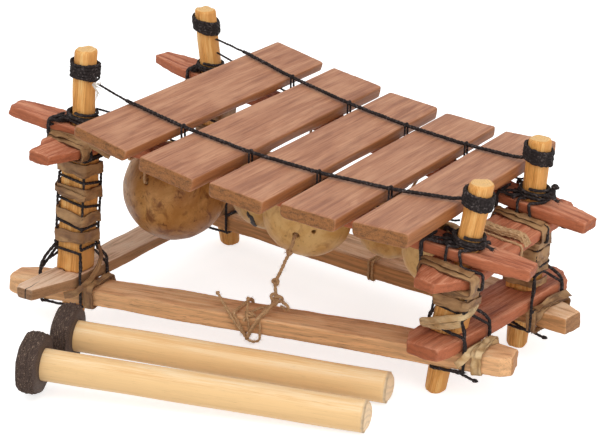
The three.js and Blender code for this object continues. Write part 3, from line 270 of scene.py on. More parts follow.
class Joint:
    """The crossing of a long rail and a crosspiece at a post."""

    def __init__(self, post, long, cross):
        self.post = post
        self.long = long
        self.cross = cross

    def plan(self, a, b):
        """From where the middle lines cross: a to the treble end, b to the rear, from above."""
        long = self.long.along.to_2d().normalized()
        cross = self.cross.along.to_2d().normalized()
        skew = long.x * cross.y - long.y * cross.x
        base = self.long.at(0, 0, self.long.thickness / 2).to_2d()
        to = self.cross.at(0, 0, self.cross.thickness / 2).to_2d() - base
        run = (to.x * cross.y - to.y * cross.x) / skew
        return (base + long * (run + a / skew) + cross * (b / skew)).to_3d()

    def centre_on(self, board):
        """How far along a board its post's crossing is."""
        return board.steps(board.over(0, self.plan(0, 0), 0)).x

    @property
    def on_top(self):
        """Where the post comes out of the long rail."""
        return self.post.meet(self.long.up, self.long.low + self.long.thickness)

    def clear(self, own, other):
        """How far along one board a strap lies clear of the other board and its lashing."""
        cosine = abs(self.long.along.dot(self.cross.along))
        edge = other.half + LASHING_REACH
        return (edge + (own.half + STRAP_REACH) * cosine) / math.sqrt(1 - cosine ** 2) + HALF_STRAP


posts = {corner: Post(corner) for corner in CORNERS}
FRONT_LEFT, FRONT_RIGHT, REAR_RIGHT, REAR_LEFT = (posts[corner] for corner in CORNERS)
boards = {
    level + "_" + side: Board("%s_%s_%s" % (level, side, kind), first, second)
    for level in ("lower", "upper")
    for side, kind, first, second in (
        ("front", "rail", FRONT_LEFT, FRONT_RIGHT), ("rear", "rail", REAR_LEFT, REAR_RIGHT),
        ("left", "crosspiece", FRONT_LEFT, REAR_LEFT), ("right", "crosspiece", FRONT_RIGHT, REAR_RIGHT))
}
bars = [Bar("bar_%d" % number) for number in range(1, BAR_COUNT + 1)]


def joint(corner, level):
    depth, side = corner.split("_")
    return Joint(posts[corner], boards[level + "_" + depth], boards[level + "_" + side])


def is_left(corner):
    return corner.endswith("left")


# Materials


def shader(name):
    """A new material with its bare node tree and its surface shader."""
    material = bpy.data.materials.new(name)
    material.use_nodes = True
    return material, material.node_tree, material.node_tree.nodes["Principled BSDF"]


def feed(tree, socket, value):
    """Links a socket to another one, or sets its value."""
    if isinstance(value, bpy.types.NodeSocket):
        tree.links.new(value, socket)
    elif socket.type == "RGBA":
        socket.default_value = tuple(value)[:3] + (1.0,)
    else:
        socket.default_value = value


def add(tree, kind, inputs=None, **settings):
    """Adds a node; inputs are sockets to link or values to set, by name or number."""
    node = tree.nodes.new(kind)
    for key, value in settings.items():
        setattr(node, key, value)
    for key, value in (inputs or {}).items():
        feed(tree, node.inputs[key], value)
    return node


def blended(tree, factor, first, second):
    """Two colours mixed by a factor."""
    return add(tree, "ShaderNodeMix", {0: factor, 6: first, 7: second}, data_type="RGBA").outputs[2]


def ranged(tree, value, low, high, to_low=0.0, to_high=1.0, smooth=True):
    """One range of a value spread over another."""
    return add(tree, "ShaderNodeMapRange", {
        "Value": value, "From Min": low, "From Max": high, "To Min": to_low, "To Max": to_high},
        interpolation_type="SMOOTHSTEP" if smooth else "LINEAR").outputs["Result"]


def maths(tree, operation, first, second=0.0):
    return add(tree, "ShaderNodeMath", {0: first, 1: second}, operation=operation).outputs[0]


def times(tree, first, second):
    return maths(tree, "MULTIPLY", first, second)


def weighed(tree, parts):
    """Sum of values, each times its weight."""
    total = None
    for value, weight in parts:
        part = times(tree, value, weight)
        total = part if total is None else maths(tree, "ADD", total, part)
    return total


def object_space(tree):
    return add(tree, "ShaderNodeTexCoord").outputs["Object"]


def axes(tree, vector):
    """A vector's X, Y and Z."""
    return add(tree, "ShaderNodeSeparateXYZ", {0: vector}).outputs


def moved_by(tree, vector, offset):
    return add(tree, "ShaderNodeVectorMath", {0: vector, 1: offset}, operation="ADD").outputs[0]


def stretched(tree, vector, scale, offset=(0, 0, 0)):
    """A space with a scale for each axis, or one for all three."""
    if isinstance(scale, (int, float)):
        scale = (scale, scale, scale)
    return add(tree, "ShaderNodeMapping", {
        "Vector": vector, "Scale": scale, "Location": offset}).outputs[0]


def grained(tree, vector, scale, detail=3.0, roughness=0.55, distortion=0.0, offset=(0, 0, 0)):
    """Noise in a stretched space."""
    return add(tree, "ShaderNodeTexNoise", {
        "Vector": stretched(tree, vector, scale, offset), "Scale": 1.0, "Detail": detail,
        "Roughness": roughness, "Distortion": distortion}).outputs[0]


def darker(colour, share_left):
    return tuple(value * share_left for value in colour)


def painted(tree, shade, coats):
    """Colours laid on a shade: noise, from where to where it shows, how strongly, and the colour."""
    for source, low, high, strength, colour in coats:
        shade = blended(tree, ranged(tree, source, low, high, 0.0, strength), shade, colour)
    return shade


def surfaced(tree, surface, shade, rough, gloss, height, relief):
    """Puts colour, roughness, gloss and a relief in millimetres on a shader."""
    feed(tree, surface.inputs["Base Color"], shade)
    feed(tree, surface.inputs["Roughness"], rough)
    feed(tree, surface.inputs["Specular IOR Level"], gloss)
    bump = add(tree, "ShaderNodeBump", {"Height": height, "Strength": 1.0, "Distance": relief * MM})
    feed(tree, surface.inputs["Normal"], bump.outputs[0])


def own_space(tree, turn, start):
    """Object coordinates in millimetres, turned so that X runs along the piece."""
    place = add(tree, "ShaderNodeTexCoord")
    euler = tuple(turn.to_euler("XYZ"))
    mapping = add(tree, "ShaderNodeMapping", {
        "Vector": place.outputs["Object"], "Rotation": euler, "Scale": (1 / MM, 1 / MM, 1 / MM),
        "Location": tuple(-(turn @ start))})
    facing = add(tree, "ShaderNodeMapping", {"Vector": place.outputs["Normal"], "Rotation": euler},
                 vector_type="VECTOR")
    return mapping.outputs[0], facing.outputs[0]


class Wood:
    """How a wood looks; lengths in millimetres."""

    ring_gap = 5.0
    rings = 0.35
    streaks = 0.5
    fibres = 0.35
    pores = 0.5
    pore_length = 9.0
    pore_share = 0.65
    blotch = 0.15
    speck = 0.35
    rough = 0.5
    bump = 0.1
    sawn = 0.0
    worn = 0.25
    side_dark = 0.75
    pith = (0.0, -60.0)

    def __init__(self, *shades, **habits):
        for name, shade in zip(("base", "dark", "light", "side", "end"), shades):
            setattr(self, name, tuple(shade))
        for habit, value in habits.items():
            setattr(self, habit, value)


# Rings of this many millimetres come out one millimetre apart
RING_SCALE = 0.628
# Near-black painted shadow inside the splits
PAINTED_CRACK_SHADOW = (0.015, 0.008, 0.004)
CRACK_TAPER = 14


def wood_material(name, wood, turn, start, seed, crack=None):
    """Long grain, end grain, pores, saw marks, worn edges and splits darkened with painted shadow, in the
    piece's own space.
    """
    material, tree, surface = shader(name)
    here, facing = own_space(tree, turn, start)
    moved = moved_by(tree, here, (seed * 137.0, seed * 53.0, seed * 31.0))
    sway = grained(tree, moved, (0.012, 0.03, 0.03), 2.0)
    sway = ranged(tree, sway, 0.25, 0.75, -1.0, 1.0, smooth=False)
    push = add(tree, "ShaderNodeCombineXYZ", {"Y": times(tree, sway, 5.0), "Z": times(tree, sway, 4.0)})
    bent = moved_by(tree, here, push.outputs[0])
    rings = add(tree, "ShaderNodeTexWave", {
        "Vector": stretched(tree, bent, (0.06, 1.0, 1.0), (seed * 2.3, -wood.pith[0], -wood.pith[1])),
        "Scale": RING_SCALE / wood.ring_gap, "Distortion": 3.0, "Detail": 3.0, "Detail Scale": 1.8},
        wave_type="RINGS", rings_direction="X").outputs[1]
    streak = grained(tree, moved, (0.012, 0.3, 0.3), 4.0, 0.6, 0.3)
    fibre = grained(tree, moved, (0.04, 1.8, 1.8), 3.0, 0.7)
    blotch = grained(tree, moved, (0.02, 0.07, 0.07), offset=(7, 5, 3))
    speck = grained(tree, moved, (0.7, 1.3, 1.3), 4.0, 0.7)
    mottle = grained(tree, moved, (0.3, 0.22, 0.5), 4.0, 0.7)
    pore = grained(tree, moved, (1.1 / wood.pore_length, 3.0, 3.0), 2.0, 0.6, offset=(3, 9, 4))
    pore = ranged(tree, pore, wood.pore_share, wood.pore_share + 0.08)
    whole = wood.streaks + wood.rings + wood.fibres
    tone = weighed(tree, ((ranged(tree, streak, 0.3, 0.7), wood.streaks), (rings, wood.rings),
                          (ranged(tree, fibre, 0.3, 0.7), wood.fibres)))
    tone = ranged(tree, tone, 0.05 * whole, 0.95 * whole)
    shade = blended(tree, ranged(tree, tone, 0.0, 0.5), wood.dark, wood.base)
    shade = painted(tree, shade, (
        (tone, 0.5, 1.0, 1.0, wood.light),
        (blotch, 0.5, 0.75, wood.blotch, wood.dark),
        (blotch, 0.5, 0.25, wood.blotch * 2, wood.light)))
    away_x, _, away_z = axes(tree, facing)
    sides = ranged(tree, maths(tree, "ABSOLUTE", away_z), 0.45, 0.8, 1.0, 0.0)
    dark_side = darker(wood.side, wood.side_dark)
    side_shade = blended(tree, ranged(tree, tone, 0.0, 0.8), dark_side, wood.side)
    shade = blended(tree, sides, shade, side_shade)
    shade = blended(tree, times(tree, pore, wood.pores), shade, darker(wood.dark, 0.4))
    end_tone = weighed(tree, ((ranged(tree, speck, 0.56, 0.42), wood.speck * 0.55),
                              (ranged(tree, mottle, 0.55, 0.4), wood.speck * 0.5),
                              (ranged(tree, rings, 0.6, 0.0), 0.2)))
    end_shade = blended(tree, end_tone, wood.end, darker(wood.end, 0.35))
    shade = painted(tree, shade, ((maths(tree, "ABSOLUTE", away_x), 0.6, 0.85, 1.0, end_shade),))
    edge = add(tree, "ShaderNodeNewGeometry").outputs["Pointiness"]
    shade = blended(tree, times(tree, ranged(tree, edge, 0.52, 0.6), wood.worn), shade, wood.light)
    saw_marks = grained(tree, moved, (0.9, 0.08, 0.08), 2.0)
    height = weighed(tree, ((fibre, 1.0), (saw_marks, wood.sawn), (pore, -0.6), (speck, 0.5)))
    if crack:
        # Painted shadow: the split is darkened as its depth would shade it, and pressed into the relief.
        split_line = cracked(tree, here, crack)
        shade = blended(tree, split_line, shade, PAINTED_CRACK_SHADOW)
        height = maths(tree, "SUBTRACT", height, times(tree, split_line, 1.5))
    rough = ranged(tree, fibre, 0.2, 0.8, wood.rough + 0.12, wood.rough - 0.08, smooth=False)
    surfaced(tree, surface, shade, rough, 0.35, height, wood.bump)
    return material


def cracked(tree, here, crack):
    """A split that starts at an end of the board: place across it, reach along it, width."""
    across, reach, width = crack
    along, beside_middle, _ = axes(tree, here)
    wander = grained(tree, here, (0.06, 0.0, 0.0), 1.0, 0.5)
    line = maths(tree, "ADD", beside_middle, ranged(tree, wander, 0.2, 0.8, -1.5, 1.5, smooth=False))
    away = maths(tree, "ABSOLUTE", maths(tree, "SUBTRACT", line, across))
    narrow = ranged(tree, along, reach - CRACK_TAPER, reach, width, 0.0, smooth=False)
    return maths(tree, "LESS_THAN", away, narrow)


def strand_space(tree):
    """Runs along the strands of a cord: round the cord in X and Y, along it in Z."""
    return add(tree, "ShaderNodeAttribute", attribute_name="lay").outputs["Vector"]


def cord_material(name, base, pale, dust_and_highlight, rough, bump):
    """Twisted fibres that follow the cord's own lay, with pale flecks laid by noise that are partly dust
    and partly painted highlights.
    """
    material, tree, surface = shader(name)
    space = object_space(tree)
    fibre = grained(tree, strand_space(tree), (4.0, 4.0, 0.9), 3.0, 0.7)
    patch = grained(tree, space, 220.0, 3.0, 0.6)
    fine = grained(tree, space, 800.0, 3.0, 0.65)
    shade = blended(tree, ranged(tree, fibre, 0.35, 0.7), darker(base, 0.55), base)
    # Pale flecks by noise: partly dust on the cord, partly painted highlights.
    light = times(tree, ranged(tree, fine, 0.48, 0.68), ranged(tree, patch, 0.36, 0.6))
    shade = blended(tree, times(tree, light, dust_and_highlight), shade, pale)
    surfaced(tree, surface, shade, ranged(tree, fibre, 0.3, 0.7, rough + 0.1, rough - 0.1, smooth=False),
             0.3, maths(tree, "ADD", fibre, times(tree, fine, 0.5)), bump)
    return material


def rawhide_material(name, base, pale, dark, rough=0.55):
    """Dried skin: cloudy, streaked along the strip, darker at its edges and where it is thick."""
    material, tree, surface = shader(name)
    lay = strand_space(tree)
    space = object_space(tree)
    cloud = grained(tree, space, (70.0, 70.0, 150.0), 3.0, 0.55, 0.5)
    streak = grained(tree, lay, (1.8, 1.8, 0.06), 4.0, 0.6)
    blotch = grained(tree, lay, (0.6, 0.6, 0.1), offset=(5, 2, 7))
    fine = grained(tree, space, 1300.0, 3.0, 0.7)
    rim = maths(tree, "ABSOLUTE", axes(tree, lay)[0])
    shade = blended(tree, ranged(tree, cloud, 0.36, 0.66), base, pale)
    shade = painted(tree, shade, (
        (blotch, 0.5, 0.7, 0.5, dark), (streak, 0.54, 0.72, 0.6, dark), (streak, 0.45, 0.3, 0.4, pale),
        (fine, 0.55, 0.8, 0.3, darker(dark, 0.5)), (rim, 0.78, 1.0, 0.75, dark)))
    surfaced(tree, surface, shade, ranged(tree, cloud, 0.3, 0.7, rough - 0.15, rough + 0.15, smooth=False),
             0.3, weighed(tree, ((streak, 1.4), (fine, 0.4), (blotch, 0.8))), 0.45)
    return material


def gourd_material(name, base, pale, dark, mottle, rough, painted_low_shade=0.0):
    """Dried gourd skin, mottled, with scratches and small dark scars, and, when asked for, painted shade
    that darkens it towards the bottom.
    """
    material, tree, surface = shader(name)
    space = object_space(tree)
    cloud = grained(tree, space, 38.0, 5.0, 0.62, 0.6)
    patch = grained(tree, space, (90.0, 90.0, 70.0), 4.0, 0.65, 0.8, (2, 5, 1))
    spot = grained(tree, space, (260.0, 260.0, 200.0), 3.0, 0.6)
    fine = grained(tree, space, 900.0, 3.0, 0.6)
    scratch = grained(tree, space, (1100.0, 60.0, 240.0), 2.0, 0.5, 0.8)
    shade = blended(tree, ranged(tree, cloud, 0.35, 0.62), base, pale)
    shade = painted(tree, shade, (
        (patch, 0.48, 0.68, mottle, dark), (spot, 0.6, 0.74, mottle, darker(dark, 0.6)),
        (fine, 0.6, 0.75, mottle * 0.6, darker(dark, 0.7)), (scratch, 0.66, 0.72, 0.3, pale)))
    # Painted shade: the skin is darkened towards the bottom of the gourd.
    if painted_low_shade:
        low = maths(tree, "ADD", axes(tree, space)[2], times(tree, patch, 0.03))
        shade = painted(tree, shade, ((low, 0.095, 0.06, painted_low_shade, dark),))
    surfaced(tree, surface, shade, ranged(tree, spot, 0.3, 0.7, rough - 0.07, rough + 0.15, smooth=False),
             0.3, weighed(tree, ((spot, 0.6), (patch, 1.0), (fine, 0.2))), 0.2)
    return material


def rubber_material(name, base, thread, start, turn):
    """Old tyre rubber: dull, with rows of pale thread ends round the rim."""
    material, tree, surface = shader(name)
    here, facing = own_space(tree, turn, start)
    along, out_y, out_z = axes(tree, here)
    unrolled = add(tree, "ShaderNodeCombineXYZ", {
        "X": times(tree, along, 1.5),
        "Y": times(tree, maths(tree, "ARCTAN2", out_z, out_y), 5.0)}).outputs[0]
    fine = grained(tree, here, 1.6, 4.0, 0.7)
    rim = ranged(tree, maths(tree, "ABSOLUTE", axes(tree, facing)[0]), 0.45, 0.8, 1.0, 0.0)
    rows = ranged(tree, grained(tree, unrolled, 1.0, 2.0, 0.5, 0.4), 0.48, 0.6)
    tuft = ranged(tree, grained(tree, here, (1.9, 1.3, 1.3), 3.0, 0.75, offset=(3, 1, 7)), 0.46, 0.6)
    spots = times(tree, times(tree, tuft, rim), rows)
    shade = blended(tree, ranged(tree, fine, 0.35, 0.7), darker(base, 0.5), base)
    shade = blended(tree, times(tree, spots, 0.9), shade, thread)
    surfaced(tree, surface, shade, ranged(tree, rim, 0.0, 1.0, 0.6, 0.92), 0.25,
             maths(tree, "ADD", fine, times(tree, spots, 0.8)), 0.4)
    return material


def cloudy_material(name, scale, dark, light, rough=0.5):
    """One matt stuff in two close shades."""
    material, tree, surface = shader(name)
    cloud = grained(tree, object_space(tree), scale, 3.0, 0.6)
    feed(tree, surface.inputs["Base Color"], blended(tree, cloud, dark, light))
    feed(tree, surface.inputs["Roughness"], rough)
    return material


# Making and finishing pieces


def as_mesh(name, bm):
    mesh = bpy.data.meshes.new(name)
    bm.to_mesh(mesh)
    bm.free()
    return mesh


def linked(name, data):
    thing = bpy.data.objects.new(name, data)
    bpy.context.scene.collection.objects.link(thing)
    return thing


class Bundle:
    """Parts of one piece, gathered as they are made, in millimetres."""

    def __init__(self):
        self.bm = bmesh.new()

    def take(self, part):
        mesh = as_mesh("part", part)
        self.bm.from_mesh(mesh)
        bpy.data.meshes.remove(mesh)


def finish_piece(name, bm, materials, nodes=(), body="stand"):
    """Turns a bmesh in millimetres into a finished piece that rides on its body."""
    bmesh.ops.scale(bm, vec=(MM, MM, MM), verts=bm.verts)
    mesh = as_mesh(name, bm)
    mesh.shade_smooth()
    for material in materials:
        mesh.materials.append(material)
    piece = linked(name, mesh)
    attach(piece, body)
    if nodes:
        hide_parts(*nodes)


def merged_copy(node):
    """The frame's own solid with its loose triangles joined, in millimetres."""
    bm = bmesh.new()
    bm.from_mesh(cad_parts[node].data)
    bmesh.ops.remove_doubles(bm, verts=bm.verts, dist=0.002 * MM)
    bmesh.ops.scale(bm, vec=(1 / MM,) * 3, verts=bm.verts)
    return bm


def modified(bm, kind, **settings):
    """The bmesh after one modifier, as a new bmesh."""
    mesh = as_mesh("blank", bm)
    blank = linked("blank", mesh)
    modifier = blank.modifiers.new("step", kind)
    for key, value in settings.items():
        setattr(modifier, key, value)
    graph = bpy.context.evaluated_depsgraph_get()
    result = bmesh.new()
    result.from_mesh(blank.evaluated_get(graph).to_mesh())
    bpy.data.objects.remove(blank)
    bpy.data.meshes.remove(mesh)
    return result


def worked_wood(node, voxel, space, hew, seed):
    """A solid worked by hand: rounded a little and uneven along its grain.

    space turns a point into the piece's own one; hew is a list of depth, length and width of marks.
    """
    bm = modified(merged_copy(node), "REMESH", mode="VOXEL", voxel_size=voxel, adaptivity=0.0)
    bmesh.ops.smooth_vert(
        bm, verts=bm.verts, factor=0.5, use_axis_x=True, use_axis_y=True, use_axis_z=True)
    bm.normal_update()
    for vertex in bm.verts:
        own = space(vertex.co)
        depth = 0.0
        for mark, reach, wide in hew:
            depth += mark * noise.noise(Vector((own.x / reach, own.y / wide, own.z / wide + seed * 9.7)))
        vertex.co += vertex.normal * depth
    return bm


def carried_sides(path):
    """A side direction at each point of a path that doesn't twist round it."""
    sides = []
    tangents = []
    side = None
    for i, point in enumerate(path):
        before = path[max(i - 1, 0)]
        after = path[min(i + 1, len(path) - 1)]
        tangent = (after - before).normalized()
        if side is None:
            helper = UP if abs(tangent.z) < 0.9 else Vector((1, 0, 0))
            side = tangent.cross(helper)
        side = (side - tangent * side.dot(tangent)).normalized()
        sides.append(side.copy())
        tangents.append(tangent)
    return sides, tangents


def resampled(path, step):
    """The same path in even steps."""
    out = [path[0].copy()]
    left = step
    for a, b in zip(path, path[1:]):
        run = (b - a).length
        done = 0.0
        while run - done >= left:
            done += left
            out.append(a.lerp(b, done / run))
            left = step
        left -= run - done
    if (out[-1] - path[-1]).length > step * 0.3:
        out.append(path[-1].copy())
    return out


def rounded(corners, bend, steps=5):
    """Straight runs between corners, each corner rounded by a short curve."""
    path = [corners[0].copy()]
    for before, corner, after in zip(corners, corners[1:], corners[2:]):
        back = before - corner
        ahead = after - corner
        start = corner + back.normalized() * min(bend, back.length * 0.45)
        end = corner + ahead.normalized() * min(bend, ahead.length * 0.45)
        for k in range(steps + 1):
            t = k / steps
            path.append(start.lerp(corner, t).lerp(corner.lerp(end, t), t))
    path.append(corners[-1].copy())
    return path


def flowing(points, steps=8):
    """A smooth curve through the points."""
    whole = [points[0] * 2 - points[1]] + list(points) + [points[-1] * 2 - points[-2]]
    path = []
    for a, b, c, d in zip(whole, whole[1:], whole[2:], whole[3:]):
        for k in range(steps):
            t = k / steps
            path.append(0.5 * ((2 * b) + (c - a) * t + (2 * a - 5 * b + 4 * c - d) * t ** 2
                               + (3 * b - a - 3 * c + d) * t ** 3))
    path.append(points[-1].copy())
    return path


def stacked(bm, sides, count):
    """A closed tube of unit radius with this many rings: each vertex and its ring's number."""
    bmesh.ops.create_cone(
        bm, cap_ends=True, cap_tris=False, segments=sides, radius1=1, radius2=1, depth=1)
    lengthwise = [edge for edge in bm.edges if abs(edge.verts[0].co.z - edge.verts[1].co.z) > 0.5]
    if count > 2:
        bmesh.ops.subdivide_edges(bm, edges=lengthwise, cuts=count - 2)
    return [(vertex, round((vertex.co.z + 0.5) * (count - 1))) for vertex in bm.verts]


def tube(bundle, shape_ring, placements, travelled, sides):
    """A closed tube whose rings go through the placements, marked with its lay."""
    bm = bmesh.new()
    lay = bm.verts.layers.float_vector.new("lay")
    for vertex, k in stacked(bm, sides, len(placements)):
        angle = math.atan2(vertex.co.y, vertex.co.x)
        vertex[lay] = (math.cos(angle), math.sin(angle), travelled[k])
        vertex.co = placements[k] @ shape_ring(angle)
    bundle.take(bm)


def distances(path):
    out = [0.0]
    for a, b in zip(path, path[1:]):
        out.append(out[-1] + (b - a).length)
    return out


def lay_cord(bundle, path, diameter, strands=2, lay_length=None, sides=10, depth=0.18, wander=0.1,
             seed=1, taper=(0.0, 0.0), thin=None, lumps=0.1):
    """A twisted cord along a path; taper is the length over which each end thins out."""
    radius = diameter / 2
    lay_length = lay_length or diameter * 3.2
    path = resampled(path, radius * 0.6)
    if len(path) < 4:
        return
    path = [point + noise.noise_vector(Vector((i * 0.18, seed * 3.1, 0))) * wander * radius
            for i, point in enumerate(path)]
    travelled = distances(path)
    whole = travelled[-1]
    sides_at, tangents = carried_sides(path)
    placements = []
    for i, point in enumerate(path):
        turn = Matrix((sides_at[i], tangents[i].cross(sides_at[i]), tangents[i])).transposed()
        twist = Matrix.Rotation(2 * math.pi * travelled[i] / lay_length, 3, "Z")
        lump = Vector((travelled[i] / diameter / 1.3, seed * 7.7, 4.0))
        size = radius * (1 + lumps * noise.noise(lump))
        for end, reach in ((travelled[i], taper[0]), (whole - travelled[i], taper[1])):
            if reach and end < reach:
                size *= 0.25 + 0.75 * math.sqrt(max(end / reach, 0.0))
        if thin:
            size *= thin(travelled[i] / whole)
        scale = Matrix.Scale(max(size, 0.05), 4)
        placements.append(Matrix.Translation(point) @ (turn @ twist).to_4x4() @ scale)

    def shape_ring(angle):
        reach = 1.0 - depth + depth * abs(math.cos(strands * angle / 2)) ** 0.7 * 1.25
        return Vector((math.cos(angle) * reach, math.sin(angle) * reach, 0))

    tube(bundle, shape_ring, placements, travelled, sides)


STRIP_SIDES = 20


def lay_strip(bundle, centres, outs, width, thickness, seed, cup, ragged, wave, curl):
    """A flat strip of skin whose face looks along outs."""
    travelled = distances(centres)
    placements = []
    for i, point in enumerate(centres):
        before = centres[max(i - 1, 0)]
        after = centres[min(i + 1, len(centres) - 1)]
        tangent = (after - before).normalized()
        out = (outs[i] - tangent * outs[i].dot(tangent)).normalized()
        side = out.cross(tangent)
        t = travelled[i]
        slow = Vector((t / width * 0.7, seed * 4.1, 3))
        quick = Vector((t / width * 2.3, seed * 5.3, 0))
        wide = width / 2 * (1 + ragged * (noise.noise(slow * 1.6) + 0.5 * noise.noise(quick)))
        tall = thickness / 2 * (1 + 0.35 * noise.noise(quick + Vector((0, 9, 5))))
        lift = wave * thickness * max(noise.noise(slow + Vector((7, 0, 2))), -0.1)
        slip = ragged * width * 0.6 * noise.noise(slow)
        lean = curl * noise.noise(slow + Vector((3, 3, 3)))
        across = side * math.cos(lean) + out * math.sin(lean)
        up = out * math.cos(lean) - side * math.sin(lean)
        basis = Matrix((across * wide, up * tall, tangent)).transposed().to_4x4()
        lift += abs(math.sin(lean)) * wide * 0.7
        placements.append(Matrix.Translation(point + out * lift + side * slip) @ basis)

    def shape_ring(angle):
        x = math.copysign(abs(math.cos(angle)) ** 0.45, math.cos(angle))
        y = math.copysign(abs(math.sin(angle)) ** 0.75, math.sin(angle))
        ridge = 0.25 * math.sin(5.0 * x + seed)
        return Vector((x, y + cup * (x * x - 0.5) + ridge * (1 - x * x), 0))

    tube(bundle, shape_ring, placements, travelled, STRIP_SIDES)


HAIR_DROOP = ((-0.5, 0.5), (-0.5, 0.5), (-0.7, 0.3))


def add_hairs(bundle, path, radius, count, reach, seed, thickness=0.2, lean=1.2, end_only=False):
    """Loose fibres that stand off a cord, or that fray out of its end."""
    rng = random.Random(seed)
    bm = bmesh.new()
    lay = bm.verts.layers.float_vector.new("lay")
    sag = bm.verts.layers.float_vector.new("sag")
    for _ in range(count):
        i = len(path) - 2 if end_only else rng.randrange(1, len(path) - 1)
        tangent = (path[i + 1] - path[i - 1]).normalized()
        away = Vector([rng.uniform(-1, 1) for _ in range(3)])
        away = (away - tangent * away.dot(tangent)).normalized()
        root = path[i] + away * radius * 0.7
        long = reach * rng.uniform(0.4, 1.0)
        along = tangent * (lean if end_only else rng.uniform(-lean, lean))
        way = (away + along).normalized()
        droop = Vector([rng.uniform(*ends) for ends in HAIR_DROOP]) * long * 0.5
        aim = UP.rotation_difference(way).to_matrix().to_4x4()
        made = bmesh.ops.create_cone(
            bm, cap_ends=True, cap_tris=False, segments=3, radius1=thickness / 2, radius2=thickness * 0.2,
            depth=long, matrix=Matrix.Translation(root + way * long / 2) @ aim)["verts"]
        for vertex in made:
            vertex[lay] = (0.3, 0.3, 0.0 if (vertex.co - root).length < long / 2 else 1.0)
            vertex[sag] = droop
    lengthwise = [edge for edge in bm.edges if abs(edge.verts[0][lay].z - edge.verts[1][lay].z) > 0.5]
    bmesh.ops.subdivide_edges(bm, edges=lengthwise, cuts=2)
    for vertex in bm.verts:
        vertex.co += vertex[sag] * vertex[lay].z ** 2
    bm.verts.layers.float_vector.remove(sag)
    bundle.take(bm)


KNOT_STEPS = 48
KNOT_SQUASH = 0.75
TANGLE_STEPS = 14


def knot_path(centre, size, axis):
    """An overhand knot pulled close, round the given axis."""
    aim = UP.rotation_difference(axis).to_matrix()
    path = []
    for k in range(KNOT_STEPS + 1):
        t = 2 * math.pi * k / KNOT_STEPS
        path.append(centre + aim @ Vector((
            (math.sin(t) + 2 * math.sin(2 * t)) * size / 3,
            (math.cos(t) - 2 * math.cos(2 * t)) * size / 3,
            -math.sin(3 * t) * size * KNOT_SQUASH / 2)))
    return path


def ball_path(centre, size, seed, turns=5, squash=(1, 1, 1)):
    """A tangle: cord wound about itself into a small ball."""
    rng = random.Random(seed)
    a, b, c = (rng.uniform(0, 6.28) for _ in range(3))
    path = []
    for k in range(turns * TANGLE_STEPS + 1):
        t = 2 * math.pi * k / TANGLE_STEPS
        tilt = t * 0.37 + a
        spin = Vector((math.cos(t), math.sin(t) * math.cos(tilt), math.sin(t) * math.sin(tilt)))
        reach = size * (0.72 + 0.28 * math.sin(t * 0.61 + b) * math.cos(t * 0.23 + c))
        path.append(centre + Vector([s * q for s, q in zip(spin, squash)]) * reach)
    return path


# Routes of the cords and strips


TURN_STEPS = 24


def helix(post, radius, top, pitch, turns, end_turn, tilt, seed=0, wander=0.0):
    """Round the leaning post from its top end down."""
    count = round(turns * TURN_STEPS)
    path = []
    for k in range(count + 1):
        angle = end_turn + (k / count - 1) * turns * 2 * math.pi
        z = top - pitch * turns * k / count
        sway = noise.noise_vector(Vector((k / TURN_STEPS * 1.7, seed * 3.3, 1))) * wander
        reach = radius + abs(sway.x)
        path.append(post.at(z) + Vector((
            reach * math.cos(angle), reach * math.sin(angle), tilt * reach * math.cos(angle) + sway.z)))
    return path


WINDING_DROPS = {"front_left": 13, "rear_left": 11, "front_right": 10, "rear_right": 10}
WINDING_HALF = 6.75


def winding_heights(post):
    middle = post.height - WINDING_DROPS[post.name]
    return middle + WINDING_HALF, middle - WINDING_HALF


def beside(post, points):
    """Places beside a post: x to the treble end, y to the rear, z from the floor."""
    return [post.at(z) + Vector((x, y, 0)) for x, y, z in points]


BLOCK_BEND = 2.4
LASHING_BEND = 2.2


def block_spiral(post, off, levels):
    """Round the square block, with a level for each corner, from the front left one."""
    a = post.block_width / 2 + off
    b = post.block_depth / 2 + off
    ring = ((-a, -b), (a, -b), (a, b), (-a, b))
    corners = [ring[k % 4] + (z,) for k, z in enumerate(levels)]
    return rounded(beside(post, corners), BLOCK_BEND)


def faced_out(post, path):
    """Outward directions for a strip that lies on the block."""
    outs = []
    for point in path:
        away = point - post.at(point.z)
        outs.append(Vector((away.x / post.block_width, away.y / post.block_depth, 0)).normalized())
    return outs


def lower_lashing_path(corner, diameter):
    spot = joint(corner, "lower")
    post = spot.post
    off = diameter / 2 + CORD_REST
    a = spot.cross.half + off + 0.6
    b = spot.long.half + off
    qa = post.block_width / 2 + off + 0.4
    qb = post.block_depth / 2 + off + 0.4
    shoulder = spot.cross.height(spot.cross.thickness, post.foot.x, post.foot.y) + CORD_REST

    def top(x, y):
        return spot.cross.over_top(spot.plan(x, y), off)

    def under(x, y):
        return spot.long.over(0, spot.plan(x, y), -off)

    def on_block(x, y, height):
        return post.at(shoulder + height) + Vector((x, y, 0))

    corners = [on_block(qa, -qb, 17), on_block(qa, qb, 16.2), on_block(-qa, qb, 15.4),
               top(-a, b), under(-a, b)]
    if is_left(corner):
        corners += [under(-a, -b), top(-a, -b), on_block(-qa, -qb * 0.2, 16), on_block(-qa, -qb, 15.6),
                    on_block(qa, -qb, 14.4), top(a, -b), under(a, -b), under(a, b), top(a, b),
                    on_block(qa, qb * 0.4, 13.5)]
    else:
        corners += [under(-2, -10.5), under(a, -b), top(a, -b), on_block(qa, -qb, 12.2),
                    on_block(qa, qb * 0.2, 11.8), top(a, b), under(a, b), under(a * 0.4, b)]
    return rounded(corners, LASHING_BEND)


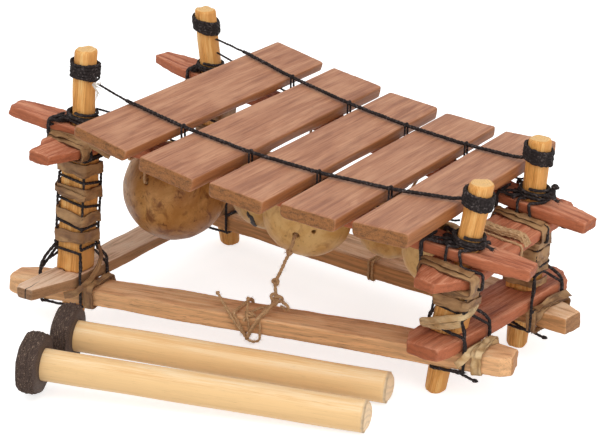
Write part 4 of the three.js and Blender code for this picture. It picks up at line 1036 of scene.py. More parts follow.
def lower_stays(corner, seed):
    """Slack cords from the block down to the corners of the crossing."""
    rng = random.Random(seed)
    spot = joint(corner, "lower")
    post = spot.post
    a = spot.cross.half + 2.2
    b = spot.long.half + 1.6
    qa = post.block_width / 2 + 1.1
    qb = post.block_depth / 2 + 1.1
    shoulder = spot.cross.height(spot.cross.thickness, post.foot.x, post.foot.y)
    # To the treble end or bass end, front or rear, place on the block's side, height on the block
    stays = [(1, -1, 1.0, 12), (1, 1, 0.85, 14), (-1, 1, 0.5, 12)]
    if is_left(corner):
        stays += [(-1, -1, -0.9, 17), (-1, -1, -0.6, 10)]
    paths = []
    for x, y, start, rise in stays:
        on_block = Vector((x * qa, (start if abs(start) < 0.95 else y) * qb, 0))
        paths.append(stay_path(spot, on_block, shoulder + rise, x, y, (a, b), rng))
    if corner == "front_right":
        paths.append(stay_path(spot, Vector((-0.8 * qa, -qb, 0)), shoulder + 6, 1, -1, (a, b), rng))
    side = [spot.long.over_top(spot.plan(a + x, y), 1.1) for x, y in ((0.4, b), (1.2, 0), (0.6, -b))]
    far = -a if is_left(corner) else -2.0
    below = [spot.long.over(0, spot.plan(x, 1.0 - b), z)
             for x, z in ((a, -0.5), ((a + far) / 2, -1.2), (far, -0.6))]
    return paths + [flowing(side), flowing(below)]


def stay_path(spot, on_block, height, x, y, reach, rng):
    """From the block, at a height, slackly over the edge of the crossing at its corner x, y."""
    first = spot.post.at(height) + on_block
    corner = spot.plan(x * reach[0], y * reach[1])
    edge = spot.cross.over_top(corner, 0.4)
    low = spot.long.over(spot.long.thickness * 0.3, corner, 0)
    middle = first.lerp(edge, 0.55) + Vector((x * 1.5, y * 0.8, rng.uniform(0.2, 1.4)))
    middle.z = max(middle.z, edge.z + 0.9)
    return flowing([spot.post.at(height + 3) + on_block, first, middle, edge, low])


def upper_lashing_path(corner, diameter):
    spot = joint(corner, "upper")
    post = spot.post
    off = diameter / 2 + CORD_REST
    radius = post.radius + off
    a = spot.cross.half + off + 0.6
    b = spot.long.half + off
    pitch = diameter + 0.6
    start = spot.on_top.z + off + 0.2
    coil = helix(post, radius, start + pitch * 2.5, pitch, 2.5, math.pi / 2, spot.long.slope)

    def top(x, y):
        return spot.long.over_top(spot.plan(x, y), off)

    def under(x, y):
        return spot.cross.over(0, spot.plan(x, y), -off)

    def ledge(x, y):
        return spot.cross.over_top(spot.plan(x, y), off)

    if is_left(corner):
        right = [under(a, b), top(a, b), top(a, -b), under(a, -b)]
    else:
        clear = radius + 1
        right = [under(a, b), ledge(a, b), ledge(a * 0.5, b), top(a * 0.45, b), top(clear, b * 0.3),
                 top(clear, b * -0.35), top(a * 0.2, -b), ledge(a * 0.3, -b), ledge(a, -b), under(a, -b)]
    corners = [coil[-1], top(-a, b), under(-a, b)] + right
    corners += [under(-a, -b), top(-a, -b), top(-a, b * 0.35)]
    return coil[:-1] + rounded(corners, LASHING_BEND)


def upper_stays(corner, seed):
    """Cords from the foot of the post over the crossing, and loose ends."""
    rng = random.Random(seed)
    spot = joint(corner, "upper")
    post = spot.post
    a = spot.cross.half + 1.6
    b = spot.long.half + 1.4
    axis = spot.on_top
    paths = []
    # To the treble or bass end, front or rear, height above the rail, sideways bend
    stays = [(-1, -1, 2.0, 3.5), (-1, -1, 4.5, -2.0), (-1, 1, 2.0, 0.0)]
    if is_left(corner):
        stays += [(1, -1, 2.5, 3.0), (1, -1, 1.2, -1.0), (1, 1, 3.0, 1.0)]
    else:
        stays += [(-0.2, -1, 1.6, 2.0)]
    for x, y, height, across in stays:
        reach = post.radius + 1.3
        first = axis + Vector((0, 0, height)) + Vector((x * reach * 0.8, y * reach * 0.6, 0))
        side = Vector((-y, x, 0)) * across
        edge = spot.long.over_top(spot.plan(x * a, y * b), 0.9)
        middle = first.lerp(edge, 0.5) + side * 0.5 + Vector((0, 0, rng.uniform(0.1, 1.0)))
        middle.z = max(middle.z, spot.long.over_top(middle, 1.3).z)
        low = spot.cross.over(spot.cross.thickness * 0.4, spot.plan(x * (a + 0.4), y * (b + 0.4)), 0)
        paths.append(flowing([first - Vector((x, y, 0)) * 3, first, middle, edge, low]))
    for x, y, long in ((1, -0.35, 12), (-0.6, -1, 7)):
        away = Vector((x, y, 0)).normalized()
        start = axis + Vector((0, 0, 3)) + away * (post.radius + 1.5)
        way = away * long
        end = start + way + Vector((0, 0, rng.uniform(-1, 2)))
        end.z = max(end.z, spot.long.over_top(end, 1.2).z)
        middle = start.lerp(end, 0.5) + Vector((0, 0, 1.2))
        paths.append(flowing([start - way * 0.3, start, middle, end]))
    return paths


def cord_line(line, x):
    """Where a cord crosses the deck, from above, in the model's frame."""
    at, y, slope, bow, bow_from = line
    run = x - FRONT_LEFT.foot.x - at
    return FRONT_LEFT.foot.y + y + slope * run + bow * run * (run - bow_from)


# Where each pair of cords crosses the deck, from the front left foot: x and y of a point, slope,
# bow and where the bow ends; then the posts that it runs between
CORD_LINES = {
    "front": ((30, 21, 0.068, 0.000314, 96), FRONT_LEFT, FRONT_RIGHT),
    "rear": ((31, 156, -0.1036, 0, 0), REAR_LEFT, REAR_RIGHT),
}
CORD_STOP = 6
TOP_CORD_LIFT = 0.7
UNDER_CORD_GAP = 0.5
TOP_CORD_BEND = 1.5
UNDER_CORD_BEND = 1.7


def on_surface(post, z, towards, reach):
    axis = post.at(z)
    way = (towards - axis).to_2d().normalized().to_3d()
    return axis + way * (post.radius + reach)


def top_cord_path(line, left, right, diameter):
    across = []
    for bar in bars:
        short = CORD_STOP if bar is bars[-1] else 0
        for u in (0, bar.width - short):
            x = bar.at(u, 0).x
            point = bar.at(u, cord_line(line, x))
            across.append(point + Vector((0, 0, diameter / 2 + TOP_CORD_LIFT)))
    start = on_surface(left, winding_heights(left)[1] - diameter / 2 - 1.2, across[0], 0.7)
    end = on_surface(right, across[-1].z + 1.4, across[-1], 1.8)
    return [start] + across + [end]


def under_cord_path(line, left, right, diameter, top_diameter):
    radius = diameter / 2
    off_side = top_diameter / 2 + radius - 0.05
    below = radius + UNDER_CORD_GAP
    corners = []
    for i, bar in enumerate(bars):
        low = bar.at(1, 0, -bar.thickness) - Vector((0, 0, below))
        high = bar.at(bar.width - 1, 0, -bar.thickness) - Vector((0, 0, below))
        if i == 0:
            x = low.x - 3.5
            corner = Vector((x, cord_line(line, x) + off_side, low.z - 0.3))
            corners += [on_surface(left, low.z + 4.5, corner, 0.4), corner]
        corners.append(Vector((low.x, cord_line(line, low.x) + off_side, low.z)))
        corners.append(Vector((high.x, cord_line(line, high.x) - off_side, high.z)))
        if i == len(bars) - 1:
            y = cord_line(line, high.x + 2) - off_side
            corners.append(on_surface(right, high.z + 0.6, Vector((high.x - 4, y, high.z)), 0.7))
        else:
            edge = bar.at(bar.width, 0)
            after = bars[i + 1].at(0, 0)
            x = edge.x * 0.62 + after.x * 0.38
            y = cord_line(line, x)
            over = (edge.z + after.z) / 2 + top_diameter / 2 + 0.25 + off_side
            next_low = bars[i + 1].at(1, 0, -bars[i + 1].thickness).z - below
            corners += [Vector((x, y - off_side, high.z)), Vector((x, y - off_side, over)),
                        Vector((x, y + off_side, over)), Vector((x, y + off_side, next_low))]
    return rounded(corners, UNDER_CORD_BEND)


# Woods of the pieces


def shades(*colours):
    return [srgb(*values) for values in colours]


def woods(settings):
    """Each wood: its colour, its dark, light, side and end shades, and its habits."""
    return {
        "bar": Wood(
            settings.bar, settings.bar_dark, srgb(200, 146, 112), settings.bar_side, settings.bar_end,
            ring_gap=7, rings=0.2, pores=0.7, pore_length=7, blotch=0.4, speck=0.8, bump=0.08, worn=0.6,
            side_dark=0.7, pith=(6, -90)),
        "post": Wood(
            settings.post, *shades((196, 132, 62), (248, 200, 128), (228, 162, 88), (244, 196, 130)),
            ring_gap=4, rings=0.2, fibres=0.5, pores=0.7, pore_length=14, speck=0.15, rough=0.55,
            bump=0.14, worn=0.2, side_dark=0.85, pith=(0, 0)),
        "red": Wood(
            settings.red, *shades((146, 78, 52), (218, 150, 116), (186, 106, 70), (176, 98, 62)),
            ring_gap=7, rings=0.2, fibres=0.45, blotch=0.3, rough=0.62, bump=0.18, sawn=0.9, worn=0.7,
            pith=(4, -70)),
        "tan": Wood(
            settings.tan, *shades((204, 144, 98), (246, 204, 158), (246, 190, 136), (200, 140, 88)),
            ring_gap=8, rings=0.3, pores=0.6, pore_length=14, pore_share=0.61, rough=0.6, bump=0.2,
            worn=0.3, side_dark=0.72, pith=(3, -80)),
        "grey": Wood(
            settings.grey, *shades((180, 138, 106), (240, 212, 186), (178, 132, 92), (168, 126, 90)),
            ring_gap=6, rings=0.25, fibres=0.5, pores=0.7, blotch=0.3, speck=0.5, rough=0.68, bump=0.22,
            sawn=0.7, worn=0.4, pith=(5, -60)),
        "rear": Wood(
            *shades((230, 182, 138), (172, 122, 84), (244, 208, 172), (216, 156, 102), (176, 126, 84)),
            ring_gap=6, rings=0.3, streaks=0.6, fibres=0.5, pores=0.7, blotch=0.3, speck=0.5, rough=0.66,
            bump=0.2, sawn=0.5, worn=0.4, side_dark=0.65, pith=(5, -60)),
        "stick": Wood(
            settings.stick, *shades((240, 192, 132), (254, 226, 184), (248, 206, 148), (252, 220, 178)),
            ring_gap=9, rings=0.2, streaks=0.35, fibres=0.4, pores=0.3, pore_length=10, blotch=0.3,
            speck=0.1, bump=0.06, worn=0.1, side_dark=0.93, pith=(0, -14)),
    }


# Wood and material slot of each board that isn't of the red wood
BOARD_WOODS = {
    "lower_front": ("tan", "tan_rail_wood"),
    "lower_rear": ("rear", "grey_rail_wood"),
    "lower_left": ("grey", "grey_rail_wood"),
}
RED_WOOD = ("red", "red_rail_wood")


SOFT_STUFFS = ("black cord", "jute", "dried skin", "pale dried skin")


def soft_materials(soft):
    """Black cord, jute, dried skin and its paler kind, made once."""
    if "black cord" not in bpy.data.materials:
        # The fourth value of each cord is how strongly its pale flecks show, partly dust and partly
        # painted highlights.
        cord_material("black cord", tuple(soft.cord), srgb(138, 126, 124), 0.5, 0.8, 0.4)
        cord_material("jute", tuple(soft.twine), srgb(226, 196, 156), 0.8, 0.95, 0.3)
        rawhide_material("dried skin", tuple(soft.rawhide), *shades((184, 144, 100), (80, 50, 30)))
        rawhide_material("pale dried skin", *shades((196, 156, 104), (226, 196, 150), (124, 88, 52)))
    return [bpy.data.materials[name] for name in SOFT_STUFFS]


# Operators, one for each piece or group of like pieces


# Tool marks on each kind of piece: depth, length and width
BAR_MARKS = ((0.4, 90, 22), (0.12, 22, 5))
BOARD_MARKS = ((1.2, 55, 13), (0.35, 16, 4))
RED_MARKS = BOARD_MARKS + ((0.3, 4, 1.6),)
POST_MARKS = ((0.9, 26, 5), (0.2, 9, 1.6))
POST_VOXEL = 0.75
# Splits at the ends of boards, darkened with painted shadow: place across, reach along, width
CRACKS = {"lower_left": (3.5, -29.0, 0.45), "lower_rear": (4.0, -2.0, 0.5)}
# First seeds of the boards and the posts
BOARD_SEED = 11
POST_SEED = 31


class BALAFON_OT_bars(bpy.types.Operator):
    """Five tuned bars with worn edges and long dark grain"""

    bl_idname = "balafon.bars"
    bl_label = "Bars"

    def execute(self, context):
        settings = context.scene.balafon_wood
        wood = woods(settings)["bar"]
        voxel = settings.voxel / MM
        for number, bar in enumerate(bars, 1):
            def space(point, bar=bar):
                return Vector((point.y, bar.across.dot(point), bar.up.dot(point)))

            bm = worked_wood(bar.node, voxel, space, BAR_MARKS, number)
            material = wood_material(bar.node + " wood", wood, bar.turn, bar.start, number)
            finish_piece(bar.node + "_plank", bm, [material], [bar.node], bar.node)
        return {"FINISHED"}


class BALAFON_OT_frame(bpy.types.Operator):
    """Four whittled posts and eight sawn boards"""

    bl_idname = "balafon.frame"
    bl_label = "Posts and rails"

    def execute(self, context):
        settings = context.scene.balafon_wood
        looks = woods(settings)
        for number, (name, board) in enumerate(boards.items(), BOARD_SEED):
            kind, slot = BOARD_WOODS.get(name, RED_WOOD)
            marks = RED_MARKS if kind == "red" else BOARD_MARKS
            bm = worked_wood(board.node, settings.voxel / MM, board.steps, marks, number)
            material = wood_material(board.node + " wood", looks[kind], board.turn, board.start, number,
                                     CRACKS.get(name))
            finish_piece(board.node + "_board", bm, [material], [board.node])
        for number, (corner, post) in enumerate(posts.items(), POST_SEED):
            turn = Matrix(((0, 0, 1), (1, 0, 0), (0, 1, 0))) @ post.turn.transposed()

            def space(point, post=post, turn=turn):
                return turn @ (point - post.foot)

            bm = worked_wood(corner + "_post", POST_VOXEL, space, POST_MARKS, number)
            material = wood_material(corner + " post wood", looks["post"], turn, post.foot, number)
            finish_piece(corner + "_stick", bm, [material], [corner + "_post"])
        return {"FINISHED"}


GOURD_RADII = (34, 28, 29, 23.3, 21)
GOURD_RIMS = (25, 20, 19, 17, 16)
GOURD_FOOT = 1.4


def gourd_centre(number):
    low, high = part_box("gourd_%d" % number)
    middle = (low + high) / 2 / MM
    return Vector((middle.x, middle.y, low.z / MM + GOURD_RADII[number - 1] + GOURD_FOOT))


def gourd_spot(number, turn, rise, distance):
    t = math.radians(turn)
    r = math.radians(rise)
    return gourd_centre(number) + distance * Vector((
        math.cos(t) * math.cos(r), math.sin(t) * math.cos(r), math.sin(r)))


# Holes for the twine in each gourd: turn round it, rise above its middle, width
GOURD_HOLES = {
    1: [(-90, 22, 2.6)],
    2: [(90, 30, 2.6)],
    3: [(-62, 22, 2.6), (-75, -13, 4.2), (-52, -6, 2.6)],
    4: [(90, 30, 2.6), (143, -41, 3.0)],
    5: [(0, 35, 2.6)],
}


# Black wax on the second gourd: turn round it, rise, length, width
WAX_SPOTS = ((-91, -30, 9.5, 3.4), (-93, -40, 6.5, 3.8), (-95, -22, 5.0, 2.2))
OUTER_RINGS = 40
INNER_RINGS = 28


class BALAFON_OT_gourds(bpy.types.Operator):
    """Five hollow gourds, cut open at the top"""

    bl_idname = "balafon.gourds"
    bl_label = "Gourds"

    def execute(self, context):
        settings = context.scene.balafon_gourds
        # The brown gourd's last value paints shade that darkens its lower part.
        brown = gourd_material("brown gourd skin", tuple(settings.brown), srgb(208, 156, 92),
                               srgb(112, 60, 26), 0.85, 0.4, 0.6)
        pale = gourd_material("pale gourd skin", tuple(settings.pale), srgb(234, 196, 132),
                              srgb(172, 112, 54), 0.5, 0.45)
        inside = gourd_material("gourd inside", srgb(206, 166, 110), srgb(224, 192, 140),
                                srgb(140, 100, 60), 0.6, 0.8)
        for number in range(1, BAR_COUNT + 1):
            bm = self.shell(number, settings.wall / MM)
            skin, slot = (brown, "brown_gourd") if number == 1 else (pale, "pale_gourd")
            finish_piece("gourd_%d_shell" % number, bm, [skin, inside], ["gourd_%d" % number])
        self.wax()
        return {"FINISHED"}

    def shell(self, number, wall):
        radius = GOURD_RADII[number - 1]
        rim = GOURD_RIMS[number - 1]
        bm = bmesh.new()
        outer_turn = math.pi - math.acos(rim / radius)
        inner = radius - wall
        inner_turn = math.pi - math.acos(rim / inner)
        profile = []
        for k in range(OUTER_RINGS + 1):
            angle = outer_turn * k / OUTER_RINGS
            reach = radius + GOURD_FOOT * math.exp(-(angle / 0.09) ** 2)
            profile.append(Vector((reach * math.sin(angle), 0, -reach * math.cos(angle))))
        profile[-1].z -= 0.4
        middle = (radius * math.sin(outer_turn) + inner * math.sin(inner_turn)) / 2
        profile.append(Vector((middle + 0.6, 0, rim)))
        profile.append(Vector((middle - 0.6, 0, rim)))
        for k in range(INNER_RINGS, -1, -1):
            angle = inner_turn * k / INNER_RINGS
            profile.append(Vector((inner * math.sin(angle), 0, -inner * math.cos(angle))))
        verts = [bmesh.ops.create_vert(bm, co=point)["vert"][0] for point in profile]
        edges = [bm.edges.new(pair) for pair in zip(verts, verts[1:])]
        bmesh.ops.spin(bm, geom=verts + edges, axis=(0, 0, 1), cent=(0, 0, 0), steps=96,
                       angle=2 * math.pi, use_merge=True)
        bmesh.ops.remove_doubles(bm, verts=bm.verts, dist=0.01)
        bmesh.ops.recalc_face_normals(bm, faces=bm.faces)
        for face in bm.faces:
            if face.calc_center_median().length < radius - wall * 0.5:
                face.material_index = 1
        for vertex in bm.verts:
            way = vertex.co.normalized()
            swell = noise.noise(way * 1.1 + Vector((number * 5.1, 0, 0))) * 1.3
            swell += noise.noise(way * 4.0 + Vector((0, number * 3.3, 0))) * 0.35
            vertex.co += way * swell
        bmesh.ops.translate(bm, vec=gourd_centre(number), verts=bm.verts)
        return self.bored(bm, number)

    def bored(self, bm, number):
        """The shell with holes for its twine."""
        radius = GOURD_RADII[number - 1]
        drill = bmesh.new()
        for turn, rise, width in GOURD_HOLES[number]:
            inner = gourd_spot(number, turn, rise, radius - 7)
            outer = gourd_spot(number, turn, rise, radius + 4)
            aim = UP.rotation_difference(outer - inner).to_matrix().to_4x4()
            bmesh.ops.create_cone(
                drill, cap_ends=True, segments=24, radius1=width / 2, radius2=width / 2 + 0.3, depth=11,
                matrix=Matrix.Translation((inner + outer) / 2) @ aim)
        mesh = as_mesh("drill", drill)
        tool = linked("drill", mesh)
        bored = modified(bm, "BOOLEAN", object=tool, operation="DIFFERENCE", solver="EXACT")
        bpy.data.objects.remove(tool)
        bpy.data.meshes.remove(mesh)
        return bored

    def wax(self):
        """Black wax that mends a crack in the second gourd."""
        material = cloudy_material("wax", 600.0, srgb(24, 18, 16), srgb(62, 46, 36), 0.6)
        bundle = Bundle()
        for k, (turn, rise, long, wide) in enumerate(WAX_SPOTS):
            spot = gourd_spot(2, turn, rise, GOURD_RADII[1] + 0.3)
            out = (spot - gourd_centre(2)).normalized()
            up = (UP - out * out.z).normalized()
            bm = bmesh.new()
            bmesh.ops.create_icosphere(bm, subdivisions=4, radius=1.0)
            for vertex in bm.verts:
                swell = 1 + 0.35 * noise.noise(vertex.co * 1.6 + Vector((k * 7.0, 3, 1)))
                x, y, z = vertex.co
                vertex.co = Vector((x * wide / 2, y * long / 2, z * 0.7)) * swell
            aim = Matrix((up.cross(out), up, out)).transposed().to_4x4()
            bmesh.ops.transform(bm, matrix=Matrix.Translation(spot) @ aim, verts=bm.verts)
            bundle.take(bm)
        finish_piece("gourd_2_wax", bundle.bm, [material])


class BALAFON_OT_deck_cords(bpy.types.Operator):
    """The cords that carry the bars, over and under them"""

    bl_idname = "balafon.deck_cords"
    bl_label = "Deck cords"

    def execute(self, context):
        soft = context.scene.balafon_soft
        black = soft_materials(soft)[0]
        top = soft.top_cord / MM
        under = soft.under_cord / MM
        for side, (line, left, right) in CORD_LINES.items():
            corners = top_cord_path(line, left, right, top)
            path = rounded(corners, TOP_CORD_BEND)
            start = (corners[1] - corners[0]).length / distances(path)[-1]

            def thin(at, start=start):
                return 0.6 if at < start * 0.96 else 1.0

            bundle = Bundle()
            lay_cord(bundle, path, top, lay_length=5.2, sides=14, depth=0.22, wander=0.2,
                     seed=3 if side == "front" else 5, thin=thin)
            add_hairs(bundle, resampled(path, 1.0), top / 2, 120, 1.2, 7, 0.16)
            finish_piece(side + "_top_rope", bundle.bm, [black], [side + "_top_cord"])
            bundle = Bundle()
            route = under_cord_path(line, left, right, under, top)
            lay_cord(bundle, route, under, lay_length=4.0, seed=9)
            finish_piece(side + "_under_rope", bundle.bm, [black], [side + "_under_cord"])
        return {"FINISHED"}


class BALAFON_OT_lashings(bpy.types.Operator):
    """Black cord lashed round the joints, the blocks and the posts' tops"""

    bl_idname = "balafon.lashings"
    bl_label = "Lashings"

    def execute(self, context):
        soft = context.scene.balafon_soft
        black = soft_materials(soft)[0]
        lashing = soft.lashing / MM
        winding = soft.winding / MM
        for number, corner in enumerate(CORNERS, 1):
            wound = (
                ("_lower_cord", "_lower_lashing", self.lower(corner, lashing, number)),
                ("_upper_cord", "_upper_lashing", self.upper(corner, lashing, number)),
                ("_top_whipping", "_top_winding", self.whipping(posts[corner], winding, number)),
            )
            for piece, node, bundle in wound:
                finish_piece(corner + piece, bundle.bm, [black], [corner + node])
        return {"FINISHED"}

    def lower(self, corner, diameter, number):
        bundle = Bundle()
        path = lower_lashing_path(corner, diameter)
        lay_cord(bundle, path, diameter * 0.85, seed=number, taper=(0, 3))
        add_hairs(bundle, resampled(path, 1.0), diameter / 2, 60, 1.3, number)
        for k, stay in enumerate(lower_stays(corner, number)):
            lay_cord(bundle, stay, diameter * (0.95 if k % 2 else 0.8), seed=number * 9 + k, wander=0.25)
        post = posts[corner]
        levels = BLOCK_CORDS[corner]
        spiral = block_spiral(post, 0.95, levels)
        lay_cord(bundle, spiral, 1.8, seed=number + 60, wander=0.15)
        high = max(levels)
        low = min(levels)
        a = post.block_width / 2 + 0.35
        b = post.block_depth / 2 + 0.35
        for x, y, start in ((-a, -b, 0.2), (a, -b, 0.1), (a, b, 0.15)):
            line = beside(post, [(x, y, high - (high - low) * start),
                                 (x * 1.03, y * 1.03, (high + low) / 2), (x, y, low - 1)])
            lay_cord(bundle, flowing(line), 1.7, seed=number + 70, wander=0.3)
        if not is_left(corner):
            spot = joint(corner, "lower")
            edge = spot.long.over(0, spot.plan(spot.cross.half * 0.5, -spot.long.half), -1.4)
            tail = [edge, edge + Vector((9, 1, -0.6)), edge + Vector((19, 0, -2.4))]
            lay_cord(bundle, flowing(tail), 1.8, seed=90, wander=0.4)
            lay_cord(bundle, ball_path(tail[-1], 1.3, 91, 2, (1.5, 0.8, 0.8)), 1.2, seed=91)
            add_hairs(bundle, tail, 0.8, 14, 3.5, 92, 0.4, 1.6, True)
        return bundle

    def upper(self, corner, diameter, number):
        bundle = Bundle()
        path = upper_lashing_path(corner, diameter)
        lay_cord(bundle, path, diameter * 0.9, seed=number + 10, taper=(0, 3))
        add_hairs(bundle, resampled(path, 1.0), diameter / 2, 90, 1.4, number + 10)
        post = posts[corner]
        spot = joint(corner, "upper")
        axis = spot.on_top
        mess = helix(post, post.radius + diameter * 0.9, axis.z + 6.2, 2.4, 1.8, number,
                     spot.long.slope * 1.4, number, 0.7)
        lay_cord(bundle, mess, diameter * 0.9, seed=number + 40, wander=0.4)
        for k, stay in enumerate(upper_stays(corner, number)):
            thick = diameter * (0.85 if k % 2 else 1.0)
            lay_cord(bundle, stay, thick, seed=number * 7 + k, wander=0.35)
            if k == 4:
                add_hairs(bundle, stay, 0.9, 10, 3.0, k, 0.4, 1.6, True)
        for k, (x, y, z, size) in enumerate(UPPER_KNOTS[corner]):
            centre = axis + Vector((x, y, z))
            lay_cord(bundle, ball_path(centre, size, number * 5 + k, 5, (1, 1, 0.75)), 1.9,
                     seed=number + k)
            add_hairs(bundle, ball_path(centre, size, k, 2), 0.9, 30, 2.4, number + k, 0.25)
        return bundle

    def whipping(self, post, diameter, number):
        """Many turns of cord near the post's top, drawn close and lumpy."""
        bundle = Bundle()
        top, low = winding_heights(post)
        tilt = 0.0 if post is FRONT_LEFT else -0.2
        path = helix(post, post.radius + diameter / 2 + 0.1, top - 2.2, 1.9, 4.6, 0, tilt, number, 0.3)
        lay_cord(bundle, path, diameter, sides=12, depth=0.24, wander=0.3, seed=number + 20, lumps=0.3)
        for k, (rise, pitch, turns, tilt) in enumerate(OVER_TURNS):
            over = helix(post, post.radius + diameter * 0.62, top + rise, pitch, turns, 1.4 + k * 2,
                         tilt, number * 3 + k, 0.7)
            lay_cord(bundle, over, diameter * 0.72, depth=0.24, wander=0.35, seed=number * 4 + k,
                     lumps=0.3)
            add_hairs(bundle, resampled(over, 1.0), diameter / 2, 110, 1.7, number * 5 + k, 0.18)
        knot = post.at(low + 2.2) + Vector((post.radius + 1.5, -2, 0))
        lay_cord(bundle, ball_path(knot, 1.7, number, 3), 1.5, seed=number)
        return bundle


# Turns laid over each whipping: height from its top, pitch, count, tilt
OVER_TURNS = ((-3.0, 2.2, 3.2, -0.32), (-4.4, 1.9, 2.8, -0.1), (-3.0, 3.6, 2.0, -0.2))
# Levels of the cord round each block at its corners, from the front left one on
BLOCK_CORDS = {
    "front_left": (
        115.4, 114.8, 113.6, 114, 113.4, 113.2, 112.6, 108, 102, 99, 95, 92, 87, 83.5, 79, 76, 72, 68,
        67, 61, 56),
    "front_right": (78, 77.6, 77, 76.4, 75.5, 73, 70, 67, 64, 61, 62, 61, 60.6, 57, 55, 53),
    "rear_right": (82, 81.5, 81, 80.2, 79, 77, 76, 74, 72, 69, 67, 64, 62, 59, 57, 55, 53),
    "rear_left": (
        110, 109.5, 108.5, 107.5, 106, 104, 102, 100, 98, 95, 90, 87, 83, 79, 75, 72, 68, 64, 62, 57,
        54, 52, 50),
}
# The same for the skin strips
BLOCK_STRIPS = {
    "front_left": (108.5, 107, 105, 100, 92.5, 91, 89.3, 84.5, 77, 73.5, 72.5, 66.5, 61, 62.6, 60, 56),
    "front_right": (71.5, 71, 70.5, 67, 63.5, 62.8, 62, 59.5),
    "rear_right": (76, 75, 74, 71, 67, 65.5, 65, 62, 60.5, 59.9, 57, 54),
    "rear_left": (103, 101, 99, 95, 88, 86.5, 85, 80, 74, 72, 71, 66, 60, 59, 58, 55),
}
# Tangles of cord beside each post, above the upper rail: place and size
UPPER_KNOTS = {
    "front_left": ((-9, -7, 3, 2.8), (-12, -9, 2.2, 3.0), (-15, -12, 0.5, 2.6), (8, -6, 3, 2.2)),
    "front_right": ((-11, -3, 2.6, 3.0), (-14, 1, 2.4, 2.8), (-9, -8, 2.4, 2.2)),
    "rear_right": ((10, 3, 5, 2.8), (12, 5, 8, 2.0), (-10, -3, 2.6, 2.4)),
    "rear_left": ((-9, -6, 3, 2.6), (9, -5, 3, 2.4)),
}


class BALAFON_OT_rawhide(bpy.types.Operator):
    """Skin strips wound round the blocks and straps round the boards"""

    bl_idname = "balafon.rawhide"
    bl_label = "Rawhide"

    def execute(self, context):
        soft = context.scene.balafon_soft
        hide, pale = soft_materials(soft)[2:]
        for number, corner in enumerate(CORNERS, 1):
            post = posts[corner]
            bundle = Bundle()
            path = resampled(block_spiral(post, 1.35, BLOCK_STRIPS[corner]), 0.7)
            lay_strip(bundle, path, faced_out(post, path), 8.3, 1.6, number, 0.35, 0.22, 0.5, 0.1)
            for k in (0.25, 0.7):
                self.fold(bundle, post, path, k, number)
            count, reach, thickness = (260, 3.4, 0.3) if corner == "rear_right" else (50, 1.6, 0.2)
            add_hairs(bundle, path, 2.5, count, reach, number, thickness)
            finish_piece(corner + "_skin_binding", bundle.bm, [hide],
                         [corner + "_rawhide_binding"])
            spot = joint(corner, "upper")
            at = spot.centre_on(spot.cross) - spot.clear(spot.cross, spot.long) + 5.5
            tip = -0.8 if corner == "front_left" else -0.25
            self.strap(corner + "_upper", spot.cross, at, hide, number + 10, 9.0, 0.0, tip)
            if corner != "rear_left":
                spot = joint(corner, "lower")
                at = spot.centre_on(spot.long) + spot.clear(spot.long, spot.cross) - 6
                skin = pale if corner == "front_right" else hide
                self.strap(corner + "_lower", spot.long, at, skin, number + 20, 6.6, 1.5, 0.2)
        self.loose(hide, pale)
        return {"FINISHED"}

    def fold(self, bundle, post, path, share_along, seed):
        """A short second layer over the strip, as where it was tucked in."""
        start = int(len(path) * share_along)
        part = path[start:start + 40]
        if len(part) < 10:
            return
        outs = faced_out(post, part)
        lifted = [point + out * 1.5 + Vector((0, 0, 1.0 - 0.06 * k))
                  for k, (point, out) in enumerate(zip(part, outs))]
        lay_strip(bundle, lifted, outs, 4.5, 1.0, seed + 5, 0.4, 0.3, 0.5, 0.3)

    def strap(self, name, board, at, hide, seed, width, slant, tip):
        """Once round a board, with a part of a second turn."""
        off = CORD_REST + 0.75
        w = board.half + off
        low = -off
        high = board.thickness + off
        corners = [(0, -0.6, low), (0, -w, low), (-0.3, -w, high), (1, w, high), (1, w, low),
                   (0.4, 0.6, low)]
        corners = [board.at(at + s * slant, x, n) for s, x, n in corners]
        path = resampled(rounded(corners, 1.6, 4), 0.7)
        middle = board.at(at, 0, board.thickness / 2)
        outs = []
        for point in path:
            away = board.steps(point) - board.steps(middle)
            rise = away.z / board.thickness * 2
            outs.append(board.across * (away.y / board.half) ** 5 + board.up * rise ** 5
                        + board.along * tip * max(rise, 0))
        bundle = Bundle()
        lay_strip(bundle, path, outs, width, 1.6, seed, 0.4, 0.22, 0.5, 0.25)
        half = len(path) // 2
        part, faces = (row[half - 22:half + 26] for row in (path, outs))
        second = [point + out.normalized() * 1.4 + board.along * 1.3 for point, out in zip(part, faces)]
        lay_strip(bundle, second, faces, 5.0, 1.1, seed + 3, 0.4, 0.3, 0.6, 0.4)
        add_hairs(bundle, path, 3.0, 60, 2.0, seed, 0.2)
        finish_piece(name + "_skin_strap", bundle.bm, [hide], [name + "_strap"])

    def loose(self, hide, pale):
        """Strips that run free between the block and the boards."""
        for name, corner, width, is_pale, points, towards in LOOSE_STRIPS:
            post = posts[corner]
            path = resampled(flowing(beside(post, points), 10), 0.8)
            outs = []
            for point in path:
                away = point - post.at(point.z)
                outs.append((Vector((away.x, away.y, 0)).normalized() + Vector(towards)).normalized())
            bundle = Bundle()
            lay_strip(bundle, path, outs, width, 1.1, len(name), 0.4, 0.15, 0.3, 0.2)
            finish_piece(name, bundle.bm, [pale if is_pale else hide])


